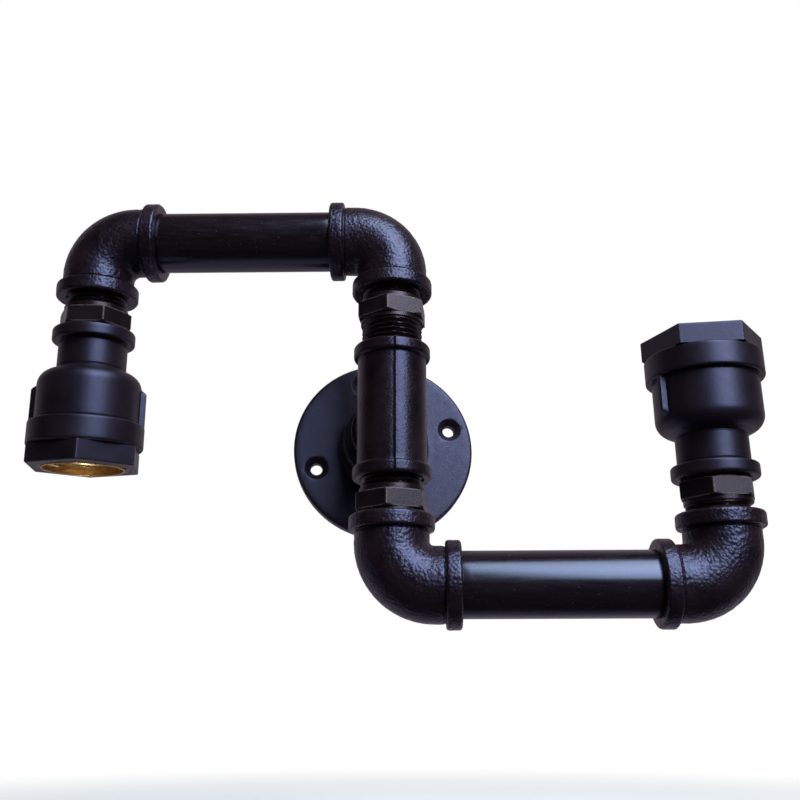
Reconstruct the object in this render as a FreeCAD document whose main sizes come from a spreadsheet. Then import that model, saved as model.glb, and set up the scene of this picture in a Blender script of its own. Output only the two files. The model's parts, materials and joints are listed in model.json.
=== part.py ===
import FreeCAD, Part
import math
import os
import Sketcher

# Pipe wall light: a wall flange, a tee and two swinging arms of threaded pipe fittings, each with a lampholder cup.
# Millimetres. X runs to the right, Y into the wall and Z up. The origin is the middle of the flange's back face.

Vector = FreeCAD.Vector
Placement = FreeCAD.Placement
Rotation = FreeCAD.Rotation

SIZES = [
    # Pipe thread shared by every fitting
    ("thread_radius", 10.45, "crest radius of the outside threads"),
    ("thread_depth", 1.16, "crest to root"),
    ("thread_pitch", 1.814, "crest to crest"),
    ("thread_clearance", 0.05, "running clearance between outside and inside threads"),
    ("thread_grip", 11.5, "length of thread inside a fitting"),
    ("socket_spare", 1.2, "socket left empty past the thread's end"),
    ("conduit_radius", 8.0, "bore of the pipes and nipples"),
    ("passage_radius", 8.7, "bore inside the fittings, past the threads"),
    ("turning_gap", 0.3, "gap between the shoulders of pieces that turn on each other"),
    # Wall flange
    ("flange_radius", 34.4, "outer radius of the disc"),
    ("flange_thick", 5.6, "thickness of the disc"),
    ("flange_round", 1.2, "rounding of the disc's front edge"),
    ("hub_radius", 15.8, "radius of the raised hub"),
    ("hub_height", 18.6, "hub face to wall"),
    ("hub_round", 1.4, "rounding of the hub's edge"),
    ("hub_blend", 2.4, "hollow fillet where the hub leaves the disc"),
    ("screw_circle", 26.8, "radius of the screw circle"),
    ("screw_hole_radius", 2.3, "screw hole"),
    ("countersink_radius", 4.5, "top of the countersink"),
    ("screw_count", 4, "screw holes"),
    ("screw_turn", 17.6, "angle of the first screw hole from the right, degrees"),
    # Tee
    ("tee_standoff", 49.1, "tee's run axis to the wall"),
    ("tee_reach", 23.5, "tee's centre to the face of its run"),
    ("tee_branch", 24.0, "tee's centre to the face of its branch"),
    ("tee_radius", 11.8, "outside of the tee between its beads"),
    ("tee_bead_radius", 13.2, "tee's end bead"),
    ("tee_bead_width", 4.6, "width of the tee's end bead"),
    ("seam_width", 0.9, "hollow casting seam down the front"),
    ("seam_depth", 0.25, "depth of the casting seam"),
    # Elbows
    ("elbow_reach", 22.2, "elbow's centre to its faces"),
    ("elbow_radius", 12.3, "outside of the elbow between its beads"),
    ("elbow_bend", 13.6, "centreline radius of the elbow"),
    ("elbow_bead_radius", 14.1, "elbow's end bead"),
    ("elbow_bead_width", 5.0, "width of the elbow's end bead"),
    ("bead_round", 1.3, "rounding of every bead's edges"),
    ("bead_blend", 0.7, "hollow fillet beside every bead"),
    # Arms
    ("pipe_radius", 10.65, "outside of the horizontal pipes"),
    ("arm_length", 105.7, "tee axis to the outer elbow's axis"),
    ("upper_rise", 65.6, "upper pipe axis above the tee's centre"),
    ("lower_drop", 57.4, "lower pipe axis below the tee's centre"),
    ("upper_swing", -5.5, "upper arm at rest, degrees forward of square to the flange"),
    ("lower_swing", 6.2, "lower arm at rest, degrees forward of square to the flange"),
    # Hex nipples
    ("hex_width", 22.0, "across the flats of every nipple"),
    ("hex_length", 5.8, "length of every nipple's hexagon"),
    ("hex_chamfer", 0.9, "cut off each corner at the ends of the hexagon"),
    ("collar_radius", 10.9, "round collar beside the hexagon"),
    ("collar_length", 1.6, "length of each collar"),
    ("upper_hex_gap", 4.2, "upper inner elbow's face to the hexagon"),
    ("lower_hex_gap", 1.2, "lower inner elbow's face to the hexagon"),
    ("head_hex_gap", 0.8, "hexagon to the cup's neck end"),
    ("upper_arm_hex_turn", -24.0, "upper arm nipple's hexagon corner about its axis, degrees"),
    ("lower_arm_hex_turn", 24.0, "lower arm nipple's hexagon corner about its axis, degrees"),
    ("upper_head_hex_turn", -1.0, "upper head nipple's hexagon corner about its axis, degrees"),
    ("lower_head_hex_turn", 8.0, "lower head nipple's hexagon corner about its axis, degrees"),
    # Heads
    ("upper_neck_start", 33.9, "upper outer elbow's centre to the cup's neck"),
    ("lower_neck_start", 33.0, "lower outer elbow's centre to the cup's neck"),
    ("upper_lean", 5.0, "upper cup's mouth towards the wall at rest, degrees"),
    ("lower_lean", -1.5, "lower cup's mouth towards the wall at rest, degrees"),
    ("upper_cup_turn", 17.0, "upper cup's hexagon corner about its axis, degrees"),
    ("lower_cup_turn", 53.5, "lower cup's hexagon corner about its axis, degrees"),
    # Cup
    ("cup_length", 48.9, "neck end to mouth"),
    ("neck_bead_radius", 14.0, "bead at the neck"),
    ("neck_bead_width", 4.5, "width of the neck's bead"),
    ("neck_radius", 11.65, "outside of the neck"),
    ("neck_length", 14.3, "neck end to the start of the shoulder"),
    ("shoulder_blend", 1.2, "hollow fillet between neck and shoulder"),
    ("shoulder_length", 6.4, "length of the fillet and the rounded shoulder"),
    ("cup_radius", 17.4, "outside of the cup's barrel"),
    ("band_start", 33.7, "neck end to the band"),
    ("band_radius", 19.3, "outside of the band"),
    ("band_round", 1.0, "rounding of the band's edges"),
    ("rim_hex_start", 42.1, "neck end to the hexagon at the mouth"),
    ("rim_hex_width", 34.8, "across the flats of the mouth's hexagon"),
    ("rib_width", 2.0, "width of the two ribs on the barrel"),
    ("rib_height", 1.8, "how far the ribs stand out"),
    ("rib_length", 13.5, "length of the ribs behind the band"),
    ("rib_turn", -30.0, "first rib from the hexagon's corner, degrees"),
    ("chamber_start", 17.6, "neck end to the chamber's full width"),
    ("holder_seat", 23.5, "neck end to the lampholder's seat"),
    ("seat_land", 1.6, "width of the lampholder's seat"),
    # Lampholder
    ("holder_gap", 0.1, "clearance round the shell and round the lampholder in its bore"),
    ("base_thick", 4.0, "insulating base"),
    ("shell_root_radius", 13.3, "inside of the screw shell at its roots"),
    ("shell_thread_depth", 1.05, "root to crest of the screw shell"),
    ("shell_wall", 0.35, "sheet of the screw shell"),
    ("shell_pitch", 3.62, "pitch of the lamp thread"),
    ("shell_proud", 0.4, "screw shell past the cup's mouth"),
    ("shell_lip", 2.2, "plain lip at the mouth of the shell"),
    ("floor_land", 0.6, "floor of the shell left inside its rivet"),
    ("sleeve_wall", 0.75, "insulating sleeve round the shell"),
    ("ring_lap", 1.0, "retaining ring past the lampholder's bore"),
    ("ring_thick", 1.6, "thickness of the retaining ring"),
    ("ring_slot_width", 2.2, "width of the ring's two spanner slots"),
    ("ring_slot_depth", 1.1, "how far the slots cut outwards"),
    ("contact_width", 5.0, "width of the spring contact"),
    ("contact_sheet", 0.4, "sheet of the spring contact"),
    ("contact_rise", 3.0, "height of the spring contact's tip"),
    ("contact_tip", 3.0, "spring contact past the middle"),
    ("contact_heel", 1.2, "spring contact past its rivet"),
    ("live_rivet_edge", 1.8, "live rivet from the edge of the shell's floor hole"),
    ("shell_rivet_edge", 1.65, "neutral rivet from the shell's crests"),
    ("rivet_radius", 0.8, "shank of the rivets"),
    ("rivet_head_radius", 1.4, "head of the rivets"),
    ("rivet_head_thick", 0.6, "thickness of the rivets' heads"),
    ("rivet_grip", 1.6, "rivet inside the terminal"),
    ("terminal_long", 5.0, "terminal block across the holder"),
    ("terminal_wide", 6.0, "terminal block along the clamping screw"),
    ("terminal_tall", 4.8, "terminal block off the base"),
    ("terminal_rivet_edge", 1.4, "rivet to the outer end of the block"),
    ("terminal_wire_edge", 1.5, "wire hole to the inner end of the block"),
    ("wire_hole_depth", 2.8, "wire hole in the block"),
    ("clamp_radius", 0.9, "clamping screw"),
    ("clamp_head_radius", 1.5, "head of the clamping screw"),
    ("clamp_head_thick", 1.0, "thickness of the clamping screw's head"),
    ("clamp_from_back", 1.7, "clamping screw from the back of the block"),
    ("clamp_slot", 0.4, "slot of the clamping screw"),
    # Wiring
    ("cable_radius", 3.0, "round two-core cable"),
    ("core_radius", 1.0, "insulated core"),
    ("core_apart", 1.45, "each core's axis from the cable's axis"),
    ("core_straight", 1.0, "core's straight run out of the cable"),
    ("core_entry", 0.5, "core's straight run before its terminal"),
    ("cable_end", 9.0, "cable's end past the cup's neck end"),
    ("splice_radius", 4.6, "splice sleeve in the tee"),
    ("splice_length", 14.0, "length of the splice sleeve"),
    ("feed_split", 38.0, "wall to the plane where the feed turns with the tee"),
]

doc = FreeCAD.newDocument("PipeWallLight")
sheet = doc.addObject("Spreadsheet::Sheet", "Sizes")
for row, (alias, number, meaning) in enumerate(SIZES, start=1):
    sheet.set("A%d" % row, alias)
    sheet.set("B%d" % row, str(number))
    sheet.set("C%d" % row, meaning)
    sheet.setAlias("B%d" % row, alias)
doc.recompute()


class Dim:
    """A number together with the sheet expression that it comes from."""

    def __init__(self, number, text):
        self.number = float(number)
        self.text = text

    def __add__(self, other):
        other = as_dim(other)
        return Dim(self.number + other.number, "(%s + %s)" % (self.text, other.text))

    def __sub__(self, other):
        other = as_dim(other)
        return Dim(self.number - other.number, "(%s - %s)" % (self.text, other.text))

    def __mul__(self, other):
        other = as_dim(other)
        return Dim(self.number * other.number, "(%s * %s)" % (self.text, other.text))

    def __truediv__(self, other):
        other = as_dim(other)
        return Dim(self.number / other.number, "(%s / %s)" % (self.text, other.text))

    def __neg__(self):
        return Dim(-self.number, "(-1 * %s)" % self.text)


def as_dim(value):
    """Any plain number as a Dim."""
    if isinstance(value, Dim):
        return value
    return Dim(value, repr(float(value)))


class SheetSizes:
    """Reads a size from the sheet by its alias."""

    def __getattr__(self, alias):
        return Dim(sheet.get(alias), "Sizes." + alias)


S = SheetSizes()
pieces = []


def bind(feature, prop, dim):
    """Set a property of a feature from the sheet."""
    dim = as_dim(dim)
    feature.setExpression(prop, dim.text)


def new_body(label):
    body = doc.addObject("PartDesign::Body", label)
    body.Label = label
    pieces.append(body)
    return body


def new_sketch(body, name, role, lift=None):
    """A sketch on one of the body's own origin planes, lifted off it by a size."""
    sketch = body.newObject("Sketcher::SketchObject", name)
    plane = [feature for feature in body.Origin.OriginFeatures if feature.Role == role][0]
    sketch.AttachmentSupport = [(plane, "")]
    sketch.MapMode = "FlatFace"
    if lift is not None:
        bind(sketch, "AttachmentOffset.Base.z", lift)
    return sketch


def pin_point(sketch, geometry, point, x, y):
    """Hold a point of the sketch at x, y from its origin."""
    for kind, value in (("DistanceX", as_dim(x)), ("DistanceY", as_dim(y))):
        index = sketch.addConstraint(Sketcher.Constraint(kind, -1, 1, geometry, point, value.number))
        sketch.setExpression("Constraints[%d]" % index, value.text)


def arc_between(start, end, radius):
    """Sketch arc whose centre is left of the way from start to end for a positive radius, else right of it."""
    chord = end - start
    half = chord.Length / 2.0
    reach = math.sqrt(max(radius * radius - half * half, 0.0))
    left = Vector(-chord.y, chord.x, 0).normalize()
    centre = start + chord * 0.5 + left * math.copysign(reach, radius)
    first, last = (start, end) if radius > 0 else (end, start)
    circle = Part.Circle(centre, Vector(0, 0, 1), abs(radius))
    return Part.ArcOfCircle(circle, circle.parameter(first), circle.parameter(last))


def draw_outline(sketch, corners):
    """Closed outline. A corner is (x, y), or (x, y, radius) where an arc arrives at it."""
    spots = [Vector(as_dim(corner[0]).number, as_dim(corner[1]).number, 0) for corner in corners]
    edges = []
    for index, corner in enumerate(corners):
        start = spots[index - 1]
        end = spots[index]
        if len(corner) == 3:
            radius = as_dim(corner[2])
            edge = sketch.addGeometry(arc_between(start, end, radius.number), False)
            size = radius if radius.number > 0 else -radius
            hold = sketch.addConstraint(Sketcher.Constraint("Radius", edge, size.number))
            sketch.setExpression("Constraints[%d]" % hold, size.text)
            edges.append((edge, 2 if radius.number > 0 else 1))
        else:
            edges.append((sketch.addGeometry(Part.LineSegment(start, end), False), 2))
    for index, corner in enumerate(corners):
        edge, end_point = edges[index]
        after, after_end = edges[(index + 1) % len(corners)]
        start_point = 1 if after_end == 2 else 2
        sketch.addConstraint(Sketcher.Constraint("Coincident", edge, end_point, after, start_point))
        pin_point(sketch, edge, end_point, corner[0], corner[1])


def turned(body, name, corners, axis="V_Axis", cut=False, role="XZ_Plane", lift=None):
    """Revolve an outline about a sketch axis, adding to the body or cutting from it."""
    sketch = new_sketch(body, name + "_outline", role, lift)
    draw_outline(sketch, corners)
    kind = "PartDesign::Groove" if cut else "PartDesign::Revolution"
    feature = body.newObject(kind, name)
    feature.Profile = sketch
    feature.ReferenceAxis = (sketch, [axis])
    feature.Angle = 360
    return feature


def padded(body, name, corners, length, role="XY_Plane", lift=None, cut=False, middle=False, turn_over=False):
    """Pad or pocket a straight-sided outline."""
    sketch = new_sketch(body, name + "_outline", role, lift)
    draw_outline(sketch, corners)
    return extruded(body, name, sketch, length, cut, middle, turn_over)


def extruded(body, name, sketch, length, cut=False, middle=False, turn_over=False):
    feature = body.newObject("PartDesign::Pocket" if cut else "PartDesign::Pad", name)
    feature.Profile = sketch
    bind(feature, "Length", length)
    feature.Midplane = middle
    feature.Reversed = turn_over
    return feature


def drilled(body, name, circles, length, role="XY_Plane", lift=None, cut=True, middle=False, turn_over=False):
    """Round pocket or pad: circles are (x, y, radius)."""
    sketch = new_sketch(body, name + "_outline", role, lift)
    for x, y, radius in circles:
        spot = Vector(as_dim(x).number, as_dim(y).number, 0)
        circle = sketch.addGeometry(Part.Circle(spot, Vector(0, 0, 1), as_dim(radius).number), False)
        pin_point(sketch, circle, 3, x, y)
        hold = sketch.addConstraint(Sketcher.Constraint("Radius", circle, as_dim(radius).number))
        sketch.setExpression("Constraints[%d]" % hold, as_dim(radius).text)
    return extruded(body, name, sketch, length, cut, middle, turn_over)


def box_corners(x_low, x_high, y_low, y_high):
    return [(x_low, y_low), (x_high, y_low), (x_high, y_high), (x_low, y_high)]


def hex_corners(width):
    """Corners of a hexagon of a width across its flats, the first corner on +X."""
    corner_radius = as_dim(width) / math.sqrt(3.0)
    corners = []
    for step in range(6):
        angle = math.radians(60 * step)
        corners.append((corner_radius * round(math.cos(angle), 12), corner_radius * round(math.sin(angle), 12)))
    return corners


def bead_corners(inner, body_radius, bead_radius, face, width):
    """Half section of an end bead on a leg that runs along the sketch's second axis."""
    back = face - width
    return [
        (inner, back - S.bead_blend),
        (body_radius, back - S.bead_blend),
        (body_radius + S.bead_blend, back, S.bead_blend * -1),
        (bead_radius - S.bead_round, back),
        (bead_radius, back + S.bead_round, S.bead_round),
        (bead_radius, face - S.bead_round),
        (bead_radius - S.bead_round, face, S.bead_round),
        (inner, face),
    ]


def thread_rings(body, name, start, length):
    """Thread from start towards +Z, as rings at the thread's pitch."""
    count = max(int(length.number / S.thread_pitch.number), 1)
    root = S.thread_radius - S.thread_depth
    outside = S.thread_radius + CUT_MARGIN
    slope = S.thread_pitch / 2
    flank = S.thread_pitch * THREAD_ROOT_FLAT / 2
    ring = turned(body, name, [
        (root, start + slope - flank),
        (outside, start - flank),
        (outside, start + S.thread_pitch + flank),
        (root, start + slope + flank),
    ], cut=True)
    pattern = body.newObject("PartDesign::LinearPattern", name + "_pattern")
    pattern.Originals = [ring]
    pattern.Direction = (ring.Profile[0], ["V_Axis"])
    bind(pattern, "Length", S.thread_pitch * (count - 1))
    pattern.Occurrences = count
    body.Tip = pattern
    return pattern


# Frames of the moving groups

def to_wall():
    """Local Z out of the wall, local Y up."""
    return Placement(Vector(0, 0, 0), Rotation(Vector(1, 0, 0), 90))


def tee_frame():
    return Placement(Vector(0, -S.tee_standoff.number, 0), Rotation())


def arm_frame(side):
    """Origin at the inner elbow's centre, X along the pipe, Y forward, Z away from the tee."""
    if side == "upper":
        spot = Vector(0, -S.tee_standoff.number, S.upper_rise.number)
        return Placement(spot, Rotation(Vector(0, 0, 1), 180 + S.upper_swing.number))
    spot = Vector(0, -S.tee_standoff.number, -S.lower_drop.number)
    swung = Rotation(Vector(0, 0, 1), -S.lower_swing.number)
    return Placement(spot, swung * Rotation(Vector(1, 0, 0), 180))


def head_frame(side):
    """Origin at the outer elbow's centre, X back towards the pipe, Y forward, Z out of the cup's mouth."""
    lean = S.upper_lean if side == "upper" else S.lower_lean
    along = Placement(Vector(S.arm_length.number, 0, 0), Rotation(Vector(0, 1, 0), 180))
    return arm_frame(side) * along * Placement(Vector(0, 0, 0), Rotation(Vector(1, 0, 0), lean.number))


def turn_about_z(angle):
    return Placement(Vector(0, 0, 0), Rotation(Vector(0, 0, 1), angle))


def lift_along_z(distance):
    return Placement(Vector(0, 0, distance), Rotation())


SOCKET = S.thread_radius + S.thread_clearance
SOCKET_DEPTH = S.thread_grip + S.socket_spare
SHELL_CREST = S.shell_root_radius - S.shell_thread_depth
SHELL_OUTSIDE = S.shell_root_radius + S.shell_wall
SHELL_RIVET = SHELL_CREST - S.shell_rivet_edge
SHELL_FLOOR_HOLE = SHELL_RIVET - S.rivet_radius - S.floor_land
LIVE_RIVET = SHELL_FLOOR_HOLE - S.live_rivet_edge
SLEEVE_INSIDE = SHELL_OUTSIDE + S.holder_gap
HOLDER_OUTSIDE = SLEEVE_INSIDE + S.sleeve_wall
HOLDER_BORE = HOLDER_OUTSIDE + S.holder_gap
RING_OUTSIDE = HOLDER_BORE + S.ring_lap
CHAMBER = HOLDER_BORE - S.seat_land
CUT_MARGIN = 1.0
CHAMFER_SLOPE = 0.5
THREAD_ROOT_FLAT = 0.12
TURN_OVER_X = Placement(Vector(0, 0, 0), Rotation(Vector(1, 0, 0), 180))


# Wall flange

def wall_flange():
    body = new_body("wall_flange")
    turned(body, "disc_and_hub", [
        (SOCKET, 0),
        (S.flange_radius, 0),
        (S.flange_radius, S.flange_thick - S.flange_round),
        (S.flange_radius - S.flange_round, S.flange_thick, S.flange_round),
        (S.hub_radius + S.hub_blend, S.flange_thick),
        (S.hub_radius, S.flange_thick + S.hub_blend, S.hub_blend * -1),
        (S.hub_radius, S.hub_height - S.hub_round),
        (S.hub_radius - S.hub_round, S.hub_height, S.hub_round),
        (SOCKET, S.hub_height),
    ])
    doc.recompute()
    place = new_sketch(body, "screw_hole_place", "XY_Plane", S.flange_thick)
    spot = Vector(S.screw_circle.number, 0, 0)
    circle = place.addGeometry(Part.Circle(spot, Vector(0, 0, 1), S.screw_hole_radius.number), False)
    pin_point(place, circle, 3, S.screw_circle, 0)
    hold = place.addConstraint(Sketcher.Constraint("Radius", circle, S.screw_hole_radius.number))
    place.setExpression("Constraints[%d]" % hold, S.screw_hole_radius.text)
    doc.recompute()
    hole = body.newObject("PartDesign::Hole", "screw_hole")
    hole.Profile = place
    doc.recompute()
    hole.DepthType = "ThroughAll"
    hole.HoleCutType = "Countersink"
    hole.HoleCutCountersinkAngle = 90
    bind(hole, "Diameter", S.screw_hole_radius * 2)
    bind(hole, "HoleCutDiameter", S.countersink_radius * 2)
    doc.recompute()
    ring = body.newObject("PartDesign::PolarPattern", "screw_holes")
    ring.Originals = [hole]
    ring.Axis = (place, ["N_Axis"])
    ring.Angle = 360
    bind(ring, "Occurrences", S.screw_count)
    body.Tip = ring
    body.Placement = to_wall() * turn_about_z(S.screw_turn.number)


def flange_nipple():
    body = new_body("flange_nipple")
    start = S.hub_height - S.thread_grip
    end = S.tee_standoff - S.tee_branch + S.thread_grip
    turned(body, "tube", [
        (S.conduit_radius, start),
        (S.thread_radius, start),
        (S.thread_radius, end),
        (S.conduit_radius, end),
    ])
    thread_rings(body, "thread", start, end - start)
    body.Placement = to_wall()


# Tee

def tee():
    body = new_body("tee")
    turned(body, "run", [
        (0, -S.tee_reach),
        (S.tee_radius, -S.tee_reach),
        (S.tee_radius, S.tee_reach),
        (0, S.tee_reach),
    ])
    drilled(body, "branch", [(0, 0, S.tee_radius)], S.tee_branch, role="XZ_Plane", cut=False, turn_over=True)
    top = bead_corners(0, S.tee_radius, S.tee_bead_radius, S.tee_reach, S.tee_bead_width)
    turned(body, "top_bead", top)
    bottom = [(corner[0], -as_dim(corner[1])) + tuple(-as_dim(arc) for arc in corner[2:]) for corner in top]
    turned(body, "bottom_bead", bottom)
    across = bead_corners(0, S.tee_radius, S.tee_bead_radius, S.tee_branch, S.tee_bead_width)
    turned(body, "branch_bead", [corner_on_y(corner) for corner in across], axis="H_Axis", role="YZ_Plane")
    padded(body, "seam", box_corners(-S.seam_width / 2, S.seam_width / 2,
                                     -S.tee_radius - CUT_MARGIN, -S.tee_radius + S.seam_depth),
           S.tee_reach * 2 - S.tee_bead_width * 2, cut=True, middle=True)
    drilled(body, "run_passage", [(0, 0, S.passage_radius)], S.tee_reach * 2 + CUT_MARGIN, middle=True)
    drilled(body, "branch_passage", [(0, 0, S.passage_radius)], S.tee_branch + CUT_MARGIN, role="XZ_Plane",
            turn_over=False)
    for name, lift in (("top_socket", S.tee_reach - SOCKET_DEPTH), ("bottom_socket", -S.tee_reach)):
        drilled(body, name, [(0, 0, SOCKET)], SOCKET_DEPTH, lift=lift, turn_over=True)
    drilled(body, "branch_socket", [(0, 0, SOCKET)], SOCKET_DEPTH, role="XZ_Plane", lift=-S.tee_branch,
            turn_over=True)
    body.Placement = tee_frame()


def corner_on_y(corner):
    """A corner of a half section along +Z, laid along the sketch's first axis."""
    return (corner[1], corner[0]) + tuple(-as_dim(arc) for arc in corner[2:])


# Elbow: one leg along +X and one along +Z

def elbow(label, placement):
    body = new_body(label)
    spine = new_sketch(body, "centreline", "XZ_Plane")
    elbow_spine(spine)
    for name, radius, cut in (("skin", S.elbow_radius, False), ("passage", S.passage_radius, True)):
        if cut:
            for leg, axis in (("z_bead", "V_Axis"), ("x_bead", "H_Axis")):
                corners = bead_corners(0, S.elbow_radius, S.elbow_bead_radius, S.elbow_reach, S.elbow_bead_width)
                if leg == "x_bead":
                    corners = [corner_on_y(corner) for corner in corners]
                turned(body, leg, corners, axis=axis)
        section = new_sketch(body, name + "_section", "YZ_Plane", S.elbow_reach)
        circle = section.addGeometry(Part.Circle(Vector(0, 0, 0), Vector(0, 0, 1), radius.number), False)
        section.addConstraint(Sketcher.Constraint("Coincident", circle, 3, -1, 1))
        hold = section.addConstraint(Sketcher.Constraint("Radius", circle, radius.number))
        section.setExpression("Constraints[%d]" % hold, radius.text)
        kind = "PartDesign::SubtractivePipe" if cut else "PartDesign::AdditivePipe"
        pipe = body.newObject(kind, name)
        pipe.Profile = section
        pipe.Spine = (spine, ["Edge1", "Edge2", "Edge3"])
    low = S.elbow_reach - SOCKET_DEPTH
    turned(body, "z_socket", box_corners(0, SOCKET, low, S.elbow_reach), cut=True)
    turned(body, "x_socket", box_corners(low, S.elbow_reach, 0, SOCKET), axis="H_Axis", cut=True)
    body.Placement = placement


def elbow_spine(spine):
    """Straight along X, a quarter bend, straight along Z."""
    reach = S.elbow_reach.number
    bend = S.elbow_bend.number
    spots = [Vector(reach, 0, 0), Vector(bend, 0, 0), Vector(0, bend, 0), Vector(0, reach, 0)]
    first = spine.addGeometry(Part.LineSegment(spots[0], spots[1]), False)
    circle = Part.Circle(Vector(bend, bend, 0), Vector(0, 0, 1), bend)
    curve = spine.addGeometry(Part.ArcOfCircle(circle, math.pi, 1.5 * math.pi), False)
    last = spine.addGeometry(Part.LineSegment(spots[2], spots[3]), False)
    spine.addConstraint(Sketcher.Constraint("Coincident", first, 2, curve, 2))
    spine.addConstraint(Sketcher.Constraint("Coincident", curve, 1, last, 1))
    pin_point(spine, first, 1, S.elbow_reach, 0)
    pin_point(spine, first, 2, S.elbow_bend, 0)
    pin_point(spine, last, 1, 0, S.elbow_bend)
    pin_point(spine, last, 2, 0, S.elbow_reach)
    hold = spine.addConstraint(Sketcher.Constraint("Radius", curve, bend))
    spine.setExpression("Constraints[%d]" % hold, S.elbow_bend.text)


# Hex nipple: from a fitting's face at z = 0, bare thread, hexagon between collars, bare thread, the next fitting

def hex_nipple(label, placement, before, after):
    body = new_body(label)
    low = before
    high = before + S.hex_length
    end = high + after + S.thread_grip
    turned(body, "tube", [
        (S.conduit_radius, -S.thread_grip),
        (S.thread_radius, -S.thread_grip),
        (S.thread_radius, end),
        (S.conduit_radius, end),
    ])
    thread_rings(body, "near_thread", -S.thread_grip, S.thread_grip + before)
    thread_rings(body, "far_thread", high, after + S.thread_grip)
    near = low - shorter(S.collar_length, before)
    far = high + shorter(S.collar_length, after)
    turned(body, "collars", box_corners(S.conduit_radius, S.collar_radius, near, far))
    hexagon = new_sketch(body, "hexagon_outline", "XY_Plane", low)
    draw_outline(hexagon, hex_corners(S.hex_width))
    circle = hexagon.addGeometry(Part.Circle(Vector(0, 0, 0), Vector(0, 0, 1), S.conduit_radius.number), False)
    hexagon.addConstraint(Sketcher.Constraint("Coincident", circle, 3, -1, 1))
    hold = hexagon.addConstraint(Sketcher.Constraint("Radius", circle, S.conduit_radius.number))
    hexagon.setExpression("Constraints[%d]" % hold, S.conduit_radius.text)
    extruded(body, "hexagon", hexagon, S.hex_length)
    corner = S.hex_width / math.sqrt(3.0)
    edge = corner - S.hex_chamfer
    past = corner + CUT_MARGIN
    rise = (S.hex_chamfer + CUT_MARGIN) * CHAMFER_SLOPE
    turned(body, "low_chamfer", [(edge, low), (past, low), (past, low + rise)], cut=True)
    turned(body, "high_chamfer", [(edge, high), (past, high - rise), (past, high)], cut=True)
    body.Placement = placement


def shorter(first, second):
    return first if first.number < second.number else second


# Horizontal pipe: along +X from the inner elbow's face

def pipe(label, placement):
    body = new_body(label)
    start = S.elbow_reach
    end = S.arm_length - S.elbow_reach
    turned(body, "tube", [
        (S.conduit_radius, start - S.thread_grip),
        (S.thread_radius, start - S.thread_grip),
        (S.thread_radius, start),
        (S.pipe_radius, start),
        (S.pipe_radius, end - S.turning_gap),
        (S.thread_radius, end - S.turning_gap),
        (S.thread_radius, end + S.thread_grip),
        (S.conduit_radius, end + S.thread_grip),
    ])
    thread_rings(body, "inner_thread", start - S.thread_grip, S.thread_grip)
    thread_rings(body, "outer_thread", end, S.thread_grip)
    body.Placement = placement * Placement(Vector(0, 0, 0), Rotation(Vector(0, 1, 0), 90))


# Cup: from the neck's end at z = 0 to the mouth at z = cup_length

def cup(label, placement):
    body = new_body(label)
    shoulder_end = S.neck_length + S.shoulder_length
    shoulder_across = S.cup_radius - S.neck_radius - S.shoulder_blend
    shoulder_along = S.shoulder_length - S.shoulder_blend
    shoulder_round = (shoulder_across * shoulder_across + shoulder_along * shoulder_along) / shoulder_across / 2
    bead = S.neck_bead_width
    turned(body, "casting", [
        (SOCKET, 0),
        (S.neck_bead_radius - S.bead_round, 0),
        (S.neck_bead_radius, S.bead_round, S.bead_round),
        (S.neck_bead_radius, bead - S.bead_round),
        (S.neck_bead_radius - S.bead_round, bead, S.bead_round),
        (S.neck_radius + S.bead_blend, bead),
        (S.neck_radius, bead + S.bead_blend, S.bead_blend * -1),
        (S.neck_radius, S.neck_length),
        (S.neck_radius + S.shoulder_blend, S.neck_length + S.shoulder_blend, S.shoulder_blend * -1),
        (S.cup_radius, shoulder_end, shoulder_round),
        (S.cup_radius, S.band_start),
        (S.band_radius - S.band_round, S.band_start),
        (S.band_radius, S.band_start + S.band_round, S.band_round),
        (S.band_radius, S.rim_hex_start - S.band_round),
        (S.band_radius - S.band_round, S.rim_hex_start, S.band_round),
        (HOLDER_BORE, S.rim_hex_start),
        (HOLDER_BORE, S.holder_seat),
        (CHAMBER, S.holder_seat),
        (CHAMBER, S.chamber_start),
        (S.passage_radius, S.chamber_start - (CHAMBER - S.passage_radius) / 2),
        (S.passage_radius, SOCKET_DEPTH),
        (SOCKET, SOCKET_DEPTH),
    ])
    rim = new_sketch(body, "rim_outline", "XY_Plane", S.rim_hex_start)
    draw_outline(rim, hex_corners(S.rim_hex_width))
    circle = rim.addGeometry(Part.Circle(Vector(0, 0, 0), Vector(0, 0, 1), HOLDER_BORE.number), False)
    rim.addConstraint(Sketcher.Constraint("Coincident", circle, 3, -1, 1))
    hold = rim.addConstraint(Sketcher.Constraint("Radius", circle, HOLDER_BORE.number))
    rim.setExpression("Constraints[%d]" % hold, HOLDER_BORE.text)
    extruded(body, "rim", rim, S.cup_length - S.rim_hex_start)
    turned(body, "ring_seat", box_corners(0, RING_OUTSIDE + S.thread_clearance,
                                          S.cup_length - S.ring_thick, S.cup_length), cut=True)
    outer = S.cup_radius + S.rib_height
    inner = S.cup_radius - S.rib_width / 2
    for number, turn in enumerate((S.rib_turn.number, S.rib_turn.number + 180), start=1):
        name = "rib_%d" % number
        rib = new_sketch(body, name + "_outline", "XY_Plane", S.band_start - S.rib_length)
        spin = Rotation(Vector(0, 0, 1), turn)
        rib.AttachmentOffset = Placement(rib.AttachmentOffset.Base, spin)
        bind(rib, "AttachmentOffset.Base.z", S.band_start - S.rib_length)
        draw_outline(rib, box_corners(inner, outer, -S.rib_width / 2, S.rib_width / 2))
        extruded(body, name, rib, S.rib_length + S.band_round)
    body.Placement = placement


# Lampholder pieces, in the cup's frame: z from the neck's end

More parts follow.
